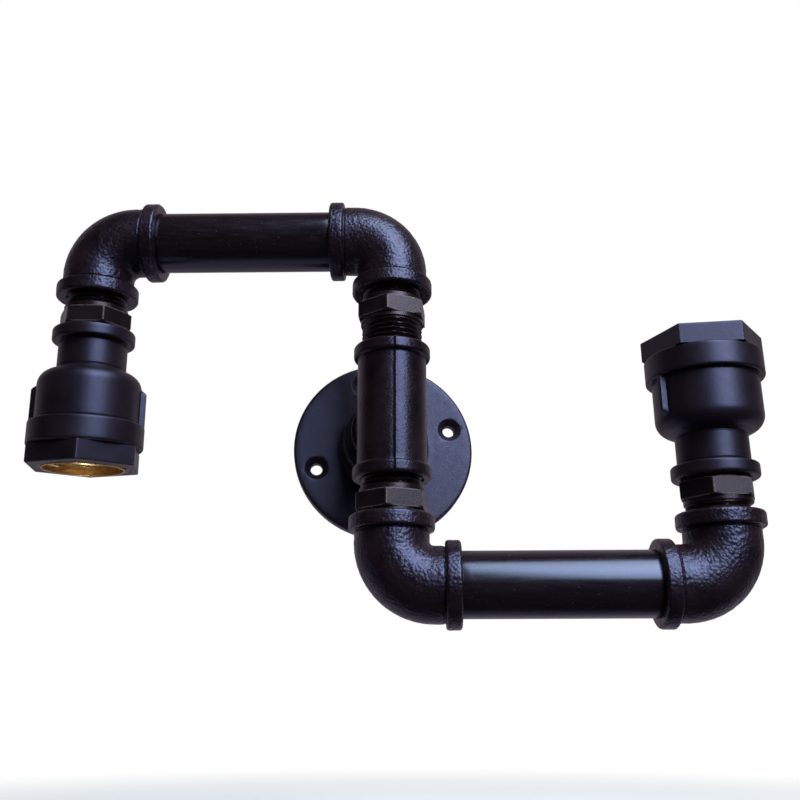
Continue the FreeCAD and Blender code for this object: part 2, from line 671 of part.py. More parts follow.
def holder_base(label, placement):
    body = new_body(label)
    turned(body, "disc", box_corners(0, HOLDER_OUTSIDE, S.holder_seat, S.holder_seat + S.base_thick))
    drilled(body, "rivet_holes", [(LIVE_RIVET, 0, S.rivet_radius), (-SHELL_RIVET, 0, S.rivet_radius)],
            S.base_thick, lift=S.holder_seat, turn_over=True)
    body.Placement = placement


def screw_shell(label, placement):
    """Rolled screw shell: floor, rounded thread rings and a plain lip."""
    body = new_body(label)
    floor = S.holder_seat + S.base_thick
    lip_end = S.cup_length + S.shell_proud
    lip_start = lip_end - S.shell_lip
    first = floor + S.shell_wall + S.shell_pitch / 4
    space = lip_start.number - first.number
    turns = max(int(space / S.shell_pitch.number), 1)
    half = S.shell_pitch / 2
    inside = [(S.shell_root_radius, lip_end), (S.shell_root_radius, lip_start)]
    outside = [(SHELL_OUTSIDE, lip_end), (SHELL_OUTSIDE, lip_start)]
    place = lip_start
    for turn in range(turns):
        inside.append((SHELL_CREST, place - half))
        outside.append((SHELL_CREST + S.shell_wall, place - half))
        place = place - S.shell_pitch
        inside.append((S.shell_root_radius, place))
        outside.append((SHELL_OUTSIDE, place))
    inside.append((S.shell_root_radius, floor + S.shell_wall))
    outside.append((SHELL_OUTSIDE, floor))
    corners = outside + [(SHELL_FLOOR_HOLE, floor), (SHELL_FLOOR_HOLE, floor + S.shell_wall)]
    corners = corners + list(reversed(inside))
    turned(body, "sheet", corners)
    drilled(body, "rivet_hole", [(-SHELL_RIVET, 0, S.rivet_radius)], S.shell_wall, lift=floor, turn_over=True)
    body.Placement = placement


def insulating_sleeve(label, placement):
    body = new_body(label)
    turned(body, "tube", box_corners(SLEEVE_INSIDE, HOLDER_OUTSIDE, S.holder_seat + S.base_thick,
                                     S.cup_length - S.ring_thick))
    body.Placement = placement


def retaining_ring(label, placement):
    body = new_body(label)
    turned(body, "ring", box_corners(SLEEVE_INSIDE, RING_OUTSIDE, S.cup_length - S.ring_thick, S.cup_length))
    reach = SLEEVE_INSIDE + S.ring_slot_depth
    padded(body, "slots", box_corners(-reach, reach, -S.ring_slot_width / 2, S.ring_slot_width / 2),
           S.ring_thick, lift=S.cup_length - S.ring_thick, cut=True, turn_over=True)
    body.Placement = placement


def centre_contact(label, placement):
    """Spring tongue: flat under its rivet, then rising past the middle."""
    body = new_body(label)
    floor = S.holder_seat + S.base_thick
    heel = LIVE_RIVET + S.contact_heel
    bend = LIVE_RIVET - S.contact_heel * 2
    top = floor + S.contact_rise
    padded(body, "tongue", [
        (heel, floor),
        (heel, floor + S.contact_sheet),
        (bend, floor + S.contact_sheet),
        (-S.contact_tip / 3, top),
        (-S.contact_tip, top),
        (-S.contact_tip, top - S.contact_sheet),
        (-S.contact_tip / 3, top - S.contact_sheet),
        (bend, floor),
    ], S.contact_width, role="XZ_Plane", middle=True)
    drilled(body, "rivet_hole", [(LIVE_RIVET, 0, S.rivet_radius)], S.contact_sheet, lift=floor, turn_over=True)
    body.Placement = placement


def terminal(label, placement, rivet_place, outward):
    """Block terminal behind the base: rivet hole, wire hole from the back and a clamping screw across."""
    body = new_body(label)
    outer = rivet_place + S.terminal_rivet_edge
    inner = outer - S.terminal_long
    wire = inner + S.terminal_wire_edge
    back = S.holder_seat - S.terminal_tall
    if outward < 0:
        outer, inner, wire, rivet_place = -outer, -inner, -wire, -rivet_place
    low, high = (inner, outer) if outward > 0 else (outer, inner)
    padded(body, "block", box_corners(low, high, -S.terminal_wide / 2, S.terminal_wide / 2),
           S.terminal_tall, lift=back)
    drilled(body, "rivet_hole", [(rivet_place, 0, S.rivet_radius)], S.rivet_grip,
            lift=S.holder_seat - S.rivet_grip, turn_over=True)
    drilled(body, "wire_hole", [(wire, 0, S.core_radius)], S.wire_hole_depth, lift=back, turn_over=True)
    drilled(body, "clamp_hole", [(wire, back + S.clamp_from_back, S.clamp_radius)],
            S.terminal_wide / 2, role="XZ_Plane", turn_over=(outward > 0))
    body.Placement = placement
    return wire


def terminal_screws(label, placement, wires):
    """Two slotted clamping screws, one in each block, driven from opposite sides."""
    shapes = []
    back = (S.holder_seat - S.terminal_tall + S.clamp_from_back).number
    face = S.terminal_wide.number / 2
    for wire, side in wires:
        spot = Vector(wire.number, side * S.core_radius.number, back)
        length = face - S.core_radius.number
        shank = Part.makeCylinder(S.clamp_radius.number, length, spot, Vector(0, side, 0))
        head_spot = Vector(wire.number, side * face, back)
        thick = S.clamp_head_thick.number
        head = Part.makeCylinder(S.clamp_head_radius.number, thick, head_spot, Vector(0, side, 0))
        slot = Part.makeBox(S.clamp_slot.number, thick, S.clamp_head_radius.number * 2)
        slot.translate(Vector(wire.number - S.clamp_slot.number / 2, side * (face + thick) - thick / 2,
                              back - S.clamp_head_radius.number))
        shapes.append(shank.fuse(head).cut(slot).removeSplitter())
    return solid_feature(label, Part.makeCompound(shapes), placement)


def contact_rivets(label, placement):
    """Two rivets through the base, one for the spring contact and one for the screw shell."""
    shapes = []
    floor = (S.holder_seat + S.base_thick).number
    low = (S.holder_seat - S.rivet_grip).number
    for place, sheet_thick in ((LIVE_RIVET.number, S.contact_sheet.number),
                               (-SHELL_RIVET.number, S.shell_wall.number)):
        top = floor + sheet_thick
        shank = Part.makeCylinder(S.rivet_radius.number, top - low, Vector(place, 0, low))
        head = Part.makeCylinder(S.rivet_head_radius.number, S.rivet_head_thick.number, Vector(place, 0, top))
        shapes.append(shank.fuse(head).removeSplitter())
    return solid_feature(label, Part.makeCompound(shapes), placement)


# Wiring

def solid_feature(label, shape, placement):
    feature = doc.addObject("Part::Feature", label)
    feature.Label = label
    feature.Shape = shape
    feature.Placement = placement
    pieces.append(feature)
    return feature


def swept_tube(edges, radius):
    """Round solid along straight runs joined by tangent arcs."""
    path = Part.Wire(edges)
    start = path.Edges[0].valueAt(path.Edges[0].FirstParameter)
    way = path.Edges[0].tangentAt(path.Edges[0].FirstParameter)
    ring = Part.Wire([Part.Edge(Part.Circle(start, way, radius))])
    return path.makePipeShell([ring], True, False)


def line(start, end):
    return Part.LineSegment(start, end).toShape()


def quarter_arc(start, middle, end):
    return Part.Arc(start, middle, end).toShape()


def straight_cable(label, placement, start, end):
    shape = Part.makeCylinder(S.cable_radius.number, (end - start).Length, start, end - start)
    return solid_feature(label, shape, placement)


def corner_cable(label, placement, x_end, z_end):
    """Cable from x_end on the X leg, round the elbow in an arc as long as its legs, to z_end on the Z leg."""
    bend = S.elbow_reach.number
    diagonal = bend * (1 - math.sqrt(0.5))
    edges = []
    if x_end > bend:
        edges.append(line(Vector(x_end, 0, 0), Vector(bend, 0, 0)))
    edges.append(quarter_arc(Vector(bend, 0, 0), Vector(diagonal, 0, diagonal), Vector(0, 0, bend)))
    edges.append(line(Vector(0, 0, bend), Vector(0, 0, z_end)))
    return solid_feature(label, swept_tube(edges, S.cable_radius.number), placement)


def core_wires(label, placement, wires):
    """Each core leaves the cable's end, steps outwards in two arcs and ends in its terminal's wire hole."""
    shapes = []
    start_z = S.cable_end.number
    end_z = (S.holder_seat - S.terminal_tall + S.wire_hole_depth).number
    straight = S.core_straight.number
    for wire, side in wires:
        way = math.copysign(1.0, wire.number)
        x_start = way * S.core_apart.number
        step = abs(wire.number - x_start)
        rise = (S.holder_seat - S.terminal_tall - S.core_entry).number - start_z - straight
        radius = (step * step + rise * rise) / (4.0 * step)
        angle = math.asin(rise / 2.0 / radius)
        first = Vector(x_start, 0, start_z)
        second = Vector(x_start, 0, start_z + straight)
        middle = Vector(x_start + way * step / 2, 0, second.z + rise / 2)
        last = Vector(wire.number, 0, second.z + rise)
        half = angle / 2
        swing = radius * (1 - math.cos(half))
        climb = radius * math.sin(half)
        edges = [
            line(first, second),
            quarter_arc(second, Vector(x_start + way * swing, 0, second.z + climb), middle),
            quarter_arc(middle, Vector(wire.number - way * swing, 0, last.z - climb), last),
            line(last, Vector(wire.number, 0, end_z)),
        ]
        shapes.append(swept_tube(edges, S.core_radius.number))
    return solid_feature(label, Part.makeCompound(shapes), placement)


def tee_wiring():
    """Feed from the flange, splice sleeve in the tee's centre and a lead into each arm."""
    split = S.feed_split.number
    standoff = S.tee_standoff.number
    half = S.splice_length.number / 2
    sleeve = Part.makeCylinder(S.splice_radius.number, half * 2, Vector(0, 0, -half))
    feed_end = Vector(0, standoff - split, 0)
    feed = Part.makeCylinder(S.cable_radius.number, standoff - split, Vector(0, 0, 0), feed_end)
    straight_cable("feed_cable", Placement(), Vector(0, 0, 0), Vector(0, -split, 0))
    solid_feature("tee_feed", feed.cut(sleeve), tee_frame())
    solid_feature("splice_sleeve", sleeve, tee_frame())
    straight_cable("tee_lead_upper", tee_frame(), Vector(0, 0, half), Vector(0, 0, S.tee_reach.number))
    straight_cable("tee_lead_lower", tee_frame(), Vector(0, 0, -half), Vector(0, 0, -S.tee_reach.number))


# Whole arms and heads

def arm(side):
    frame = arm_frame(side)
    inner = frame * TURN_OVER_X
    rise = S.upper_rise if side == "upper" else S.lower_drop
    turn = S.upper_arm_hex_turn if side == "upper" else S.lower_arm_hex_turn
    gap = S.upper_hex_gap if side == "upper" else S.lower_hex_gap
    elbow(side + "_inner_elbow", inner)
    bare = rise - S.elbow_reach - S.tee_reach - S.hex_length - gap
    face = inner * lift_along_z(S.elbow_reach.number)
    hex_nipple(side + "_arm_nipple", face * turn_about_z(turn.number), gap, bare)
    pipe(side + "_pipe", frame)
    outer_face = (S.arm_length - S.elbow_reach).number
    corner_cable(side + "_arm_cable", inner, outer_face, (rise - S.tee_reach).number)


def head(side):
    frame = head_frame(side)
    neck_start = S.upper_neck_start if side == "upper" else S.lower_neck_start
    hex_turn = S.upper_head_hex_turn if side == "upper" else S.lower_head_hex_turn
    cup_turn = S.upper_cup_turn if side == "upper" else S.lower_cup_turn
    elbow(side + "_outer_elbow", frame)
    bare = neck_start - S.elbow_reach - S.hex_length - S.head_hex_gap
    face = frame * lift_along_z(S.elbow_reach.number)
    hex_nipple(side + "_head_nipple", face * turn_about_z(hex_turn.number), bare, S.head_hex_gap)
    neck = frame * lift_along_z(neck_start.number)
    cup(side + "_cup", neck * turn_about_z(cup_turn.number))
    holder_base(side + "_holder_base", neck)
    screw_shell(side + "_screw_shell", neck)
    insulating_sleeve(side + "_insulating_sleeve", neck)
    retaining_ring(side + "_retaining_ring", neck)
    centre_contact(side + "_centre_contact", neck)
    live = terminal(side + "_live_terminal", neck, LIVE_RIVET, 1)
    neutral = terminal(side + "_neutral_terminal", neck, SHELL_RIVET, -1)
    wires = ((live, -1), (neutral, 1))
    terminal_screws(side + "_terminal_screws", neck, wires)
    contact_rivets(side + "_contact_rivets", neck)
    corner_cable(side + "_head_cable", frame, S.elbow_reach.number, (neck_start + S.cable_end).number)
    core_wires(side + "_core_wires", neck, wires)


wall_flange()
flange_nipple()
tee()
tee_wiring()
for arm_side in ("upper", "lower"):
    arm(arm_side)
    head(arm_side)

doc.recompute()

for item in doc.Objects:
    faults = [state for state in item.State if state in ("Invalid", "Error")]
    if faults:
        raise RuntimeError("%s (%s) is %s" % (item.Label, item.TypeId, faults))
for piece in pieces:
    if piece.Shape.isNull() or not piece.Shape.isValid() or not piece.Shape.Solids:
        raise RuntimeError("%s has no valid solid" % piece.Label)

os.makedirs("parts", exist_ok=True)
for piece in pieces:
    piece.Shape.exportStep(os.path.join("parts", piece.Label + ".step"))
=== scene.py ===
import itertools
import json
import math

import bmesh
import bpy
import numpy as np
from mathutils import Matrix, Vector, noise


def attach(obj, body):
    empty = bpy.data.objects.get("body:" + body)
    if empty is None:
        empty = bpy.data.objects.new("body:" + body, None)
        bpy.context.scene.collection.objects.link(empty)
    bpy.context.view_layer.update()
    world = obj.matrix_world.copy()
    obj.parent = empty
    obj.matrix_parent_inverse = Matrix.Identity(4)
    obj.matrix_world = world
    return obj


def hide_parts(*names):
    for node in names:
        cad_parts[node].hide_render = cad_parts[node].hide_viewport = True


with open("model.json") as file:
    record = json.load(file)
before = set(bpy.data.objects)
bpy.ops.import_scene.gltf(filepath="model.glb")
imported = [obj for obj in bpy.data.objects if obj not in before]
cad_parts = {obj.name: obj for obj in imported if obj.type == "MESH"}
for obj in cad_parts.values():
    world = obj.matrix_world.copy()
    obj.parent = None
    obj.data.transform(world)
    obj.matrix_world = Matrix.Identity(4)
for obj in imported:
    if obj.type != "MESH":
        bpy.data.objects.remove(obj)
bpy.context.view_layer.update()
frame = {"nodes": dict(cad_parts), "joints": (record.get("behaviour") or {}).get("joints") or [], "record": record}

MM = 0.001

# Sizes in millimetres, as on the drawings of the fittings
THREAD_CREST = 10.45
THREAD_DEPTH = 1.16
THREAD_PITCH = 1.814
THREAD_GRIP = 11.5
SOCKET_RADIUS = 10.5
SOCKET_DEPTH = 12.7
ELBOW_SOCKET_DEPTH = 11.6
CONDUIT_RADIUS = 8.0
PASSAGE_RADIUS = 8.7
TURNING_GAP = 0.3

FLANGE_RADIUS = 34.4
FLANGE_THICK = 5.6
FLANGE_ROUND = 1.2
HUB_RADIUS = 15.8
HUB_HEIGHT = 18.6
HUB_ROUND = 1.4
HUB_BLEND = 2.4
SCREW_CIRCLE = 26.8
SCREW_HOLE = 2.3
COUNTERSINK = 4.5
SCREW_COUNT = 4
SCREW_TURN = 17.6

TEE_STANDOFF = 49.1
TEE_REACH = 23.5
TEE_BRANCH = 24.0
TEE_RADIUS = 11.8
TEE_BEAD = 13.2
TEE_BEAD_WIDTH = 4.6
TEE_END_ROUND = 0.6
TEE_FILLET = 5.0
TEE_BLEND = 0.4
SEAM_HALF = 0.45
SEAM_DEPTH = 0.7

ELBOW_REACH = 22.2
ELBOW_RADIUS = 12.3
ELBOW_BEND = 13.6
ELBOW_BEAD = 14.1
ELBOW_BEAD_WIDTH = 5.0
BEAD_ROUND = 1.1

PIPE_RADIUS = 10.65
ARM_LENGTH = 105.7
ARM_RISE = {"upper": 65.6, "lower": 57.4}

HEX_WIDTH = 22.0
HEX_LENGTH = 5.8
HEX_CHAMFER = 0.9
COLLAR_RADIUS = 10.9
COLLAR_LENGTH = 1.6
ARM_HEX_GAP = {"upper": 4.2, "lower": 1.2}
ARM_HEX_TURN = {"upper": -24.0, "lower": 24.0}
HEAD_HEX_GAP = 0.8
HEAD_HEX_TURN = {"upper": -1.0, "lower": 8.0}

CUP_LENGTH = 48.9
NECK_BEAD = 14.0
NECK_BEAD_WIDTH = 4.5
NECK_RADIUS = 11.65
NECK_LENGTH = 14.3
SHOULDER_BLEND = 1.2
SHOULDER_LENGTH = 6.4
CUP_RADIUS = 17.4
BAND_START = 33.7
BAND_RADIUS = 19.3
BAND_ROUND = 1.0
CREASE = 0.25
RIM_HEX_START = 42.1
RIM_HEX_WIDTH = 34.8
RIB_WIDTH = 2.0
RIB_HEIGHT = 1.8
RIB_LENGTH = 13.5
RIB_TURN = -30.0
RIB_RUN_IN = 1.8
RIB_EDGE = 0.35
CHAMBER_RADIUS = 13.0
CHAMBER_START = 17.6
HOLDER_BORE = 14.6
HOLDER_SEAT = 23.5
CUP_TURN = {"upper": 17.0, "lower": 53.5}

BASE_THICK = 4.0
SHELL_ROOT = 13.3
SHELL_DEPTH = 1.05
SHELL_WALL = 0.35
SHELL_PITCH = 3.62
SHELL_PROUD = 0.4
SHELL_LIP = 2.2
SHELL_FLOOR_HOLE = 9.2
RING_INSIDE = 13.75
RING_OUTSIDE = 15.6
RING_THICK = 1.6
RING_SLOT_WIDTH = 2.2
RING_SLOT_DEPTH = 1.1

CABLE_RADIUS = 3.0
CORE_RADIUS = 1.0
CORE_APART = 1.45
FEED_SPLIT = 38.0
FEED_STRIPPED = 2.0

# Size and depth of the pebbles pressed into the cast skins, in millimetres
TEE_PEBBLES = (1.1, 0.03)
ELBOW_PEBBLES = (1.0, 0.12)


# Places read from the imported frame

def joint(name):
    return [item for item in frame["joints"] if item["name"] == name][0]


def mount(name):
    return [item for item in frame["record"]["mounts"] if item["name"] == name][0]


def axes_at(origin, x_axis, z_axis):
    """Matrix with the given X and Z directions, in metres."""
    x = Vector(x_axis).normalized()
    z = Vector(z_axis).normalized()
    y = z.cross(x)
    turn = Matrix((x, y, z)).transposed().to_4x4()
    return Matrix.Translation(Vector(origin)) @ turn


def arm_place(side):
    tilt = joint(side + "_head_tilt")
    up = 1.0 if side == "upper" else -1.0
    return axes_at(tilt["pos_m"], tilt["axis"], (0, 0, up))


def head_place(side):
    arm = arm_place(side)
    socket = mount(side + "_lamp_socket")
    along = arm.col[0].xyz
    return axes_at(arm.translation + along * ARM_LENGTH * MM, -along, socket["axis"])


def neck_start(side):
    """Outer elbow's centre to the cup's neck end, in millimetres."""
    socket = mount(side + "_lamp_socket")
    head = head_place(side)
    lip_middle = (Vector(socket["pos_m"]) - head.translation).dot(head.col[2].xyz) / MM
    return lip_middle - SHELL_PROUD + SHELL_LIP / 2 - CUP_LENGTH


def lift(distance):
    return Matrix.Translation((0, 0, distance * MM))


def spin(degrees):
    return Matrix.Rotation(math.radians(degrees), 4, "Z")


TEE_PLACE = Matrix.Translation(Vector(joint("upper_arm_swing")["pos_m"]))
WALL_PLACE = Matrix.Rotation(math.radians(90), 4, "X")
TURN_OVER = Matrix.Rotation(math.pi, 4, "X")
PIPE_ALONG_X = Matrix.Rotation(math.radians(90), 4, "Y")


# Camera, lights and stage

CAMERA_FOCAL_PIXELS = 885.2
FRAME_PIXELS = 800
SENSOR_WIDTH = 36.0
NEAREST_SEEN = 0.005
CAMERA_SPOT = Vector((-0.0207, -0.3333, -0.0937))
CAMERA_TURN = (-4.717, 19.07, 0.11)
FLOOR_HEIGHT = -0.15
FLOOR_HALF = 6.0
FLOOR_COLOUR = (0.9, 0.9, 0.91)
FLOOR_FADE = (0.28, 0.6)
ROOM_LIGHT = 0.3

# What the paint mirrors isn't what the camera sees: the room and the floor are dark in front of the lamp
# and mauve grey behind it, where the camera sees white
MIRRORED_FRONT = (0.008, 0.005, 0.006)
MIRRORED_BACK = (0.40, 0.33, 0.37)
MIRRORED_TURN = (0.0, 0.6)
FLOOR_SHADE = (0.03, 0.025, 0.03)
FLOOR_BEHIND = (0.46, 0.38, 0.44)
FLOOR_TURN = (-0.05, 0.03)


def make_camera():
    data = bpy.data.cameras.new("camera")
    data.sensor_width = SENSOR_WIDTH
    data.lens = CAMERA_FOCAL_PIXELS / FRAME_PIXELS * data.sensor_width
    data.clip_start = NEAREST_SEEN
    camera = bpy.data.objects.new("camera", data)
    bpy.context.scene.collection.objects.link(camera)
    yaw, pitch, roll = (math.radians(angle) for angle in CAMERA_TURN)
    turn = Matrix.Rotation(yaw, 3, "Z") @ Matrix.Rotation(pitch, 3, "X") @ Matrix.Rotation(roll, 3, "Y")
    level = Matrix.Rotation(math.radians(90), 3, "X")
    look = turn @ level
    camera.matrix_world = Matrix.Translation(CAMERA_SPOT) @ look.to_4x4()
    bpy.context.scene.camera = camera


def soft_box(name, spot, aim, size, watts, colour, beam):
    """Rectangular lamp at spot, turned to aim, its beam in degrees."""
    data = bpy.data.lights.new(name, "AREA")
    data.shape = "RECTANGLE"
    data.size, data.size_y = size
    data.energy = watts
    data.color = colour
    data.spread = math.radians(beam)
    light = bpy.data.objects.new(name, data)
    bpy.context.scene.collection.objects.link(light)
    way = (Vector(aim) - Vector(spot)).to_track_quat("-Z", "Y")
    light.matrix_world = Matrix.Translation(Vector(spot)) @ way.to_matrix().to_4x4()
    light.visible_camera = False


def add(tree, kind, inputs=None, **settings):
    """A new node, its inputs set from values or linked from sockets."""
    node = tree.nodes.new(kind)
    for key, value in settings.items():
        setattr(node, key, value)
    for key, value in (inputs or {}).items():
        if isinstance(value, bpy.types.NodeSocket):
            tree.links.new(value, node.inputs[key])
        else:
            node.inputs[key].default_value = value
    return node


def maths(tree, operation, first, second=None, third=None):
    inputs = {0: first}
    if second is not None:
        inputs[1] = second
    if third is not None:
        inputs[2] = third
    return add(tree, "ShaderNodeMath", inputs, operation=operation).outputs[0]


def remap(tree, value, low, high, to_low, to_high):
    made = add(tree, "ShaderNodeMapRange", {"Value": value, "From Min": low, "From Max": high,
                                            "To Min": to_low, "To Max": to_high})
    return made.outputs[0]


def blend_colour(tree, amount, first, second):
    made = add(tree, "ShaderNodeMix", {0: amount}, data_type="RGBA")
    for socket, value in ((made.inputs[6], first), (made.inputs[7], second)):
        if isinstance(value, bpy.types.NodeSocket):
            tree.links.new(value, socket)
        else:
            socket.default_value = tuple(value) + (1,)
    return made.outputs[2]


def new_finish(name, **sockets):
    material = bpy.data.materials.new(name)
    material.use_nodes = True
    shader = material.node_tree.nodes["Principled BSDF"]
    for key, value in sockets.items():
        shader.inputs[key.replace("_", " ")].default_value = value
    return material, material.node_tree, shader


def make_world():
    """White to the camera and dim to matt surfaces; what is mirrored has tones of its own."""
    world = bpy.data.worlds.new("studio")
    world.use_nodes = True
    bpy.context.scene.world = world
    tree = world.node_tree
    tree.nodes.clear()
    path = add(tree, "ShaderNodeLightPath").outputs
    way = add(tree, "ShaderNodeTexCoord").outputs["Generated"]
    depth = add(tree, "ShaderNodeSeparateXYZ", {0: way}).outputs["Y"]
    behind = remap(tree, depth, *MIRRORED_TURN, 0, 1)
    mirrored = blend_colour(tree, behind, MIRRORED_FRONT, MIRRORED_BACK)
    seen = blend_colour(tree, path["Is Diffuse Ray"], (1, 1, 1), (ROOM_LIGHT,) * 3)
    colour = blend_colour(tree, path["Is Glossy Ray"], seen, mirrored)
    room = add(tree, "ShaderNodeBackground", {"Color": colour, "Strength": 1.0})
    add(tree, "ShaderNodeOutputWorld", {"Surface": room.outputs[0]})


def floor_finish():
    """Pale matt floor that fades into the white background, with its own tones where it is mirrored."""
    material, tree, shader = new_finish("pale_floor", Roughness=0.9, Specular_IOR_Level=0.1)
    place = add(tree, "ShaderNodeTexCoord").outputs["Object"]
    flat = add(tree, "ShaderNodeVectorMath", {0: place, 1: (1, 1, 0)}, operation="MULTIPLY").outputs[0]
    away = add(tree, "ShaderNodeVectorMath", {0: flat}, operation="LENGTH").outputs["Value"]
    fade_range = {"Value": away, "From Min": FLOOR_FADE[0], "From Max": FLOOR_FADE[1]}
    fade = add(tree, "ShaderNodeMapRange", fade_range, interpolation_type="SMOOTHSTEP").outputs[0]
    path = add(tree, "ShaderNodeLightPath").outputs
    amount = maths(tree, "MULTIPLY", fade, path["Is Camera Ray"])
    depth = add(tree, "ShaderNodeSeparateXYZ", {0: place}).outputs["Y"]
    behind = remap(tree, depth, *FLOOR_TURN, 0, 1)
    mirrored = blend_colour(tree, behind, FLOOR_SHADE, FLOOR_BEHIND)
    colour = blend_colour(tree, path["Is Camera Ray"], mirrored, FLOOR_COLOUR)
    tree.links.new(colour, shader.inputs["Base Color"])
    white = add(tree, "ShaderNodeEmission", {"Color": (1, 1, 1, 1), "Strength": 1.0})
    above = add(tree, "ShaderNodeMixShader", {0: amount, 1: shader.outputs[0], 2: white.outputs[0]})
    below = add(tree, "ShaderNodeNewGeometry").outputs["Backfacing"]
    clear = add(tree, "ShaderNodeBsdfTransparent")
    both = add(tree, "ShaderNodeMixShader", {0: below, 1: above.outputs[0], 2: clear.outputs[0]})
    tree.links.new(both.outputs[0], tree.nodes["Material Output"].inputs["Surface"])
    return material


def make_floor():
    mesh = bpy.data.meshes.new("floor")
    corners = [(x * FLOOR_HALF, y * FLOOR_HALF, FLOOR_HEIGHT)
               for x, y in ((-1, -1), (1, -1), (1, 1), (-1, 1))]
    mesh.from_pydata(corners, [], [(0, 1, 2, 3)])
    mesh.materials.append(floor_finish())
    floor = bpy.data.objects.new("floor", mesh)
    bpy.context.scene.collection.objects.link(floor)


make_camera()
bpy.context.scene.view_settings.view_transform = "Standard"
make_world()
make_floor()
soft_box("window_box", spot=(0.26, -0.64, 0.50), aim=(0, -0.04, 0), size=(0.56, 1.0), watts=6.8,
         colour=(0.85, 0.93, 1.0), beam=100)
LAMP_MOUTH = Vector(mount("upper_lamp_socket")["pos_m"])
soft_box("low_card", spot=LAMP_MOUTH - Vector((0.002, 0.004, 0.11)), aim=LAMP_MOUTH, size=(0.03, 0.03),
         watts=0.0015, colour=(1.0, 0.95, 0.90), beam=16)


# Finishes

# Tints of the paints' highlights
LAVENDER = (0.50, 0.56, 1.0, 1)
MAUVE = (0.74, 0.66, 0.82, 1)
SKY = (0.55, 0.66, 1.0, 1)


def object_place(tree, stretch=(1, 1, 1)):
    place = add(tree, "ShaderNodeTexCoord")
    return add(tree, "ShaderNodeMapping", {"Vector": place.outputs["Object"], "Scale": stretch}).outputs[0]


def speckle(tree, place, size, detail=2.0, roughness=0.5):
    """Soft noise whose grains are about size millimetres."""
    made = add(tree, "ShaderNodeTexNoise", {"Vector": place, "Scale": 1 / (size * MM), "Detail": detail,
                                            "Roughness": roughness})
    return made.outputs[0]


def relief(tree, heights):
    """Bumps laid over each other: (height socket, depth in millimetres)."""
    normal = None
    for height, depth in heights:
        bump = add(tree, "ShaderNodeBump", {"Height": height, "Strength": 1.0, "Distance": depth * MM})
        if normal is not None:
            tree.links.new(normal, bump.inputs["Normal"])
        normal = bump.outputs[0]
    return normal


def cast_paint(name, dark, light, worn_and_glint, rough, pebble_size, pebble_depth, level, tint=LAVENDER):
    """Black paint over a cast skin: its tones, its lighter edges (partly worn paint, partly painted highlight
    lines), its sheen and the pebbles under it.
    """
    material, tree, shader = new_finish(name, Specular_IOR_Level=level, Specular_Tint=tint)
    place = object_place(tree)
    cloud = speckle(tree, place, 9.0, 3.0)
    tone = blend_colour(tree, remap(tree, cloud, 0.35, 0.65, 0, 1), dark, light)
    # Lighter colour along the marked edges: partly worn paint, partly a painted highlight line where edges catch
    # the light
    edge = add(tree, "ShaderNodeAttribute", attribute_name="edge").outputs["Fac"]
    chips = speckle(tree, place, 1.1, 4.0, 0.7)
    bare_and_glint = maths(tree, "MULTIPLY", edge, remap(tree, chips, 0.35, 0.7, 0.35, 1))
    tree.links.new(blend_colour(tree, bare_and_glint, tone, worn_and_glint), shader.inputs["Base Color"])
    patch = speckle(tree, place, 2.2, 3.0)
    tree.links.new(remap(tree, patch, 0.3, 0.7, *rough), shader.inputs["Roughness"])
    cells = {"Vector": place, "Scale": 1 / (pebble_size * MM), "Smoothness": 0.6}
    knobs = add(tree, "ShaderNodeTexVoronoi", cells, feature="SMOOTH_F1").outputs["Distance"]
    grain = speckle(tree, place, 0.35, 3.0)
    bumps = relief(tree, [(knobs, -pebble_depth), (grain, pebble_depth * 0.35)])
    tree.links.new(bumps, shader.inputs["Normal"])
    return material


def pipe_paint():
    """Black paint on smooth tube, with faint streaks along it and specks of dust."""
    material, tree, shader = new_finish("pipe_paint", Specular_IOR_Level=0.66, Specular_Tint=SKY)
    place = object_place(tree)
    along = object_place(tree, (0.06, 1, 1))
    streak = speckle(tree, along, 1.2, 4.0, 0.6)
    shade = remap(tree, streak, 0.3, 0.7, 0, 1)
    tone = blend_colour(tree, shade, (0.0030, 0.0013, 0.0020), (0.0075, 0.0040, 0.0052))
    dust = speckle(tree, place, 0.55, 1.0)
    tone = blend_colour(tree, remap(tree, dust, 0.73, 0.77, 0, 0.4), tone, (0.12, 0.11, 0.12))
    tree.links.new(tone, shader.inputs["Base Color"])
    tree.links.new(remap(tree, streak, 0.3, 0.75, 0.19, 0.27), shader.inputs["Roughness"])
    grain = speckle(tree, place, 0.4, 2.0)
    wave = speckle(tree, along, 3.0, 2.0)
    tree.links.new(relief(tree, [(wave, 0.008), (grain, 0.008)]), shader.inputs["Normal"])
    return material


def sheet_metal(name, colour, tarnish, rough, size=3.0):
    """Bare metal with clouds of tarnish whose grains are about size millimetres."""
    material, tree, shader = new_finish(name, Metallic=1.0)
    place = object_place(tree)
    cloud = speckle(tree, place, size, 4.0, 0.6)
    tone = blend_colour(tree, remap(tree, cloud, 0.4, 0.7, 0, 1), colour, tarnish)
    tree.links.new(tone, shader.inputs["Base Color"])
    tree.links.new(remap(tree, cloud, 0.3, 0.7, *rough), shader.inputs["Roughness"])
    fine = speckle(tree, object_place(tree, (1, 1, 0.1)), 0.2, 2.0)
    tree.links.new(relief(tree, [(fine, 0.01)]), shader.inputs["Normal"])
    return material


def moulded(name, colour, second, rough, depth, size=1.5, level=0.4):
    """Plastic, ceramic or fibre in two close tones, its skin's relief depth millimetres deep."""
    material, tree, shader = new_finish(name, Specular_IOR_Level=level)
    place = object_place(tree)
    cloud = speckle(tree, place, size, 4.0, 0.6)
    tone = blend_colour(tree, remap(tree, cloud, 0.35, 0.7, 0, 1), colour, second)
    tree.links.new(tone, shader.inputs["Base Color"])
    tree.links.new(remap(tree, cloud, 0.3, 0.7, *rough), shader.inputs["Roughness"])
    fine = speckle(tree, place, size * 0.2, 3.0)
    tree.links.new(relief(tree, [(fine, depth)]), shader.inputs["Normal"])
    return material


